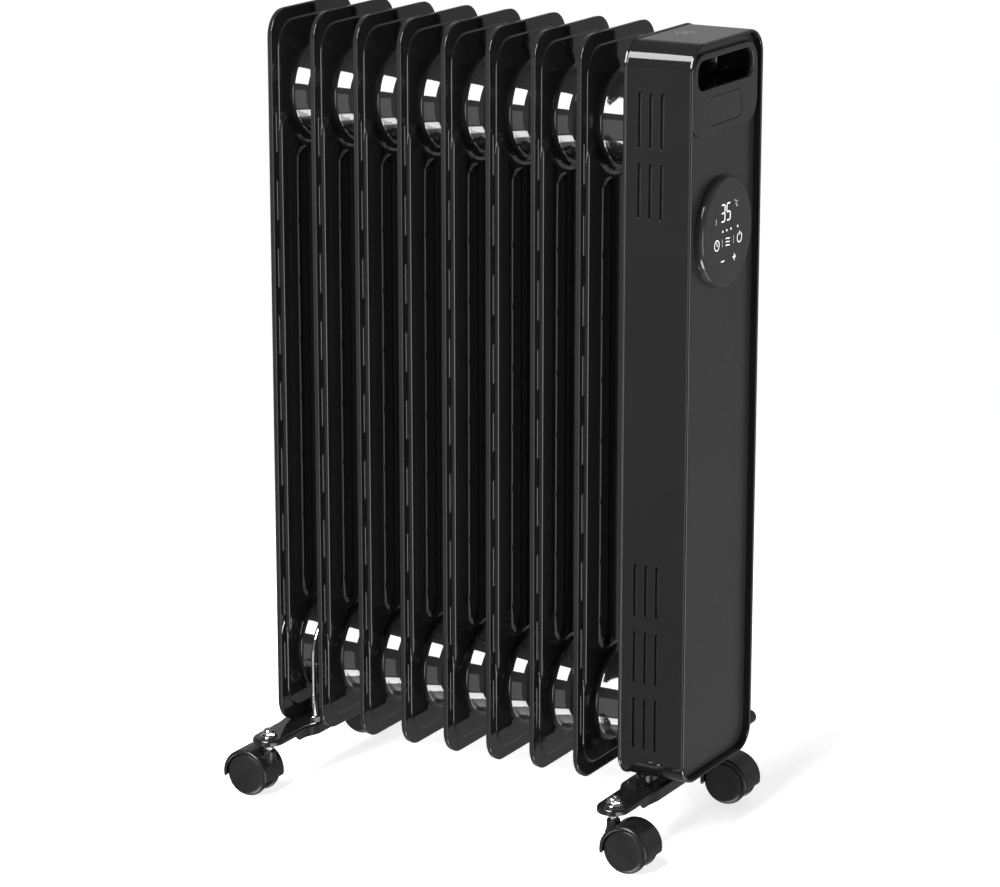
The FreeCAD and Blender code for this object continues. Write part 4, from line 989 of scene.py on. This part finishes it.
def hood(name, stem_x, y, trail, body, node):
    """A fork cover that wraps over both wheels, with the socket that takes the stem."""
    shape = Shape()
    x = stem_x + trail
    start = -math.asin((SKIRT_DROP - 0.5) / HOOD_R)
    sweep, steps = math.pi - 2 * start, 64

    def swept(section):
        """Rings of a section of (radius, y) points carried round the axle."""
        angles = (start + sweep * step / steps for step in range(steps + 1))
        return [[(x + r * math.cos(angle), y + w, AXLE_Z + r * math.sin(angle))
                 for r, w in section] for angle in angles]

    section = [(18.95, -12.6), (17.7, -12.85), (17.45, -13.2), (17.55, -13.75), (17.9, -14.0),
               (19.0, -14.0), (19.6, -13.85), (20.15, -13.35), (20.42, -12.6), (20.5, -11.6)]
    section += [(radius, -depth) for radius, depth in reversed(section)]
    shape.closed(swept(section))
    # Two plates between the wheels, from the cover down to the axle
    web_rings = swept([(17.0, -6.0), (18.95, -5.8), (18.97, -5.0), (18.97, 5.0), (18.95, 5.8),
                       (17.0, 6.0)])
    for side, row_index in ((-1, 0), (1, -1)):
        plate = [(x, y + side * 6.0, AXLE_Z)] + [ring[row_index] for ring in web_rings]
        shape.cap(shape.ring(plate))
    socket = ((4.2, 38.5), (4.9, 38.4), (5.25, 38.0), (5.3, 37.3), (5.3, 33.5), (5.6, 31.0),
              (6.6, 28.2))
    shape.turned(((3.1, 34.0), (3.1, 38.3), (3.3, 38.5)) + socket, (stem_x, y, 0), "z", 48)
    piece(shape.make(name), name, "caster_plastic", body=body, replaces=[node])


for corner in CORNERS:
    rear = corner.startswith("rear")
    stem_x = REAR_STEM_X if rear else FRONT_STEM_X
    trail = -TRAIL if rear else TRAIL
    stem_y = STEM_Y if corner.endswith("left") else -STEM_Y
    away = 1 if stem_y > 0 else -1
    hood(f"hood_{corner}", stem_x, stem_y, trail, f"caster_{corner}", f"caster_hood_{corner}")
    for which, sign in (("outer", away), ("inner", -away)):
        wheel(f"wheel_{corner}_{which}", stem_x + trail, stem_y, sign,
              f"wheel_{corner}_{which}", f"caster_wheel_{corner}_{which}")


# ---- Finishes of the CAD's own nodes

for subpart in frame["record"]["subparts"]:
    node = frame["nodes"].get(subpart["node"])
    if node is None:
        continue
    node.data.materials.clear()
    node.data.materials.append(MATERIALS[subpart["material_slot"]])

for name in ("cord_gland", "fill_plug", "bracket_screws", "panel_screws", "power_board",
             "transformer", "relays", "terminal_block", "thermal_cutout"):
    thing = frame["nodes"][name]
    soften = thing.modifiers.new("soft_edges", "BEVEL")
    soften.width = 0.4 * MM
    soften.segments = 2
    soften.limit_method = "ANGLE"
    soften.angle_limit = math.radians(40)


# ---- Floor, light and camera

def stage_material():
    material = bpy.data.materials.new("studio_floor")
    material.use_nodes = True
    tree = material.node_tree
    shader = tree.nodes["Principled BSDF"]
    shader.inputs["Base Color"].default_value = (0.9, 0.9, 0.9, 1)
    shader.inputs["Roughness"].default_value = 0.75
    shader.inputs["Specular IOR Level"].default_value = 0.2
    coords = tree.nodes.new("ShaderNodeTexCoord")
    length = tree.nodes.new("ShaderNodeVectorMath")
    length.operation = "LENGTH"
    tree.links.new(coords.outputs["Object"], length.inputs[0])
    # The floor fades out towards its edge, and polished paint doesn't mirror it
    fade = spread(tree, length.outputs["Value"], 0.25, 1.0, 1.0, 0.0, smooth=True)
    rays = tree.nodes.new("ShaderNodeLightPath")
    solid = combine(tree, "SUBTRACT", 1.0, rays.outputs["Is Glossy Ray"])
    tree.links.new(combine(tree, "MULTIPLY", fade, solid), shader.inputs["Alpha"])
    shader.inputs["Emission Color"].default_value = (1, 1, 1, 1)
    shader.inputs["Emission Strength"].default_value = 0.74
    return material


floor_mesh = bpy.data.meshes.new("floor")
floor_mesh.from_pydata([(-1, -1, 0), (1, -1, 0), (1, 1, 0), (-1, 1, 0)], [], [(0, 1, 2, 3)])
floor_mesh.materials.append(stage_material())
floor = add("floor", floor_mesh)
floor.scale = (1.05, 0.85, 1.0)
floor.location = (0.0, 0.28, 0.0)


def softbox(name, place, target, width, height, power):
    data = bpy.data.lights.new(name, "AREA")
    data.shape = "RECTANGLE"
    data.size, data.size_y = width, height
    data.energy = power
    lamp = add(name, data)
    lamp.location = place
    lamp.rotation_euler = (Vector(target) - Vector(place)).to_track_quat("-Z", "Y").to_euler()


softbox("key", (-0.12, -1.62, 1.75), (0, 0, 0.48), 1.0, 1.45, 100)
softbox("side", (-0.86, -1.23, 2.20), (0.17, -0.05, 0.62), 0.5, 0.9, 19)

# The room's own light by direction: dim all round, with the pale table below it and a few
# wide reflectors, so that the gloss paint has something to show
world = bpy.data.worlds.new("studio")
bpy.context.scene.world = world
world.use_nodes = True
tree = world.node_tree
background = tree.nodes["Background"]
output = tree.nodes["World Output"]
coords = tree.nodes.new("ShaderNodeTexCoord")
parts = tree.nodes.new("ShaderNodeSeparateXYZ")
tree.links.new(coords.outputs["Generated"], parts.inputs["Vector"])


def between(axis, start, end, soft):
    """One inside a range of one direction component, falling to nought over a soft edge."""
    result = None
    for edge, sign in ((start, 1), (end, -1)):
        if edge is None:
            continue
        ramp = spread(tree, parts.outputs[axis], edge - sign * soft, edge + sign * soft,
                      smooth=True)
        result = ramp if result is None else combine(tree, "MULTIPLY", result, ramp)
    return result


# Radiance, then the ranges of direction that show it: (axis, from, to, softness)
REFLECTORS = (
    (0.10, (("Z", None, 0.02, 0.06),)),
    (1.5, (("Z", None, -0.94, 0.02),)),
    (13.0, (("X", -0.32, 0.25, 0.03), ("Y", None, -0.25, 0.03), ("Z", -0.93, -0.77, 0.015))),
    (1.0, (("X", -0.30, 0.06, 0.02), ("Y", None, 0.0, 0.1), ("Z", -0.72, 0.02, 0.015))),
    (4.0, (("X", 0.66, 0.95, 0.06), ("Y", None, 0.1, 0.1), ("Z", -0.50, 0.10, 0.08))),
    (0.21, (("Y", 0.35, None, 0.2), ("Z", 0.06, 0.50, 0.1))),
    (0.02, (("X", 0.2, 0.75, 0.2), ("Y", 0.4, None, 0.2), ("Z", None, 0.1, 0.1))),
)
total = 0.16
for strength, ranges in REFLECTORS:
    patch = None
    for limits in ranges:
        part = between(*limits)
        patch = part if patch is None else combine(tree, "MULTIPLY", patch, part)
    total = combine(tree, "ADD", combine(tree, "MULTIPLY", patch, strength), total)
background.inputs["Color"].default_value = (1, 1, 1, 1)
tree.links.new(total, background.inputs["Strength"])
plain = tree.nodes.new("ShaderNodeBackground")
plain.inputs["Color"].default_value = (1, 1, 1, 1)
plain.inputs["Strength"].default_value = 1.0
rays = tree.nodes.new("ShaderNodeLightPath")
pick = tree.nodes.new("ShaderNodeMixShader")
tree.links.new(rays.outputs["Is Camera Ray"], pick.inputs["Fac"])
tree.links.new(background.outputs["Background"], pick.inputs[1])
tree.links.new(plain.outputs["Background"], pick.inputs[2])
tree.links.new(pick.outputs["Shader"], output.inputs["Surface"])

bpy.context.scene.view_settings.view_transform = "Standard"

camera_data = bpy.data.cameras.new("camera")
camera_data.lens = 130.33
camera_data.sensor_width = 36.0
camera = add("camera", camera_data)
camera.location = (1.3536, -2.3788, 1.0304)
camera.rotation_euler = (math.radians(90 - 15.056), 0.0, math.radians(29.598))
bpy.context.scene.camera = camera
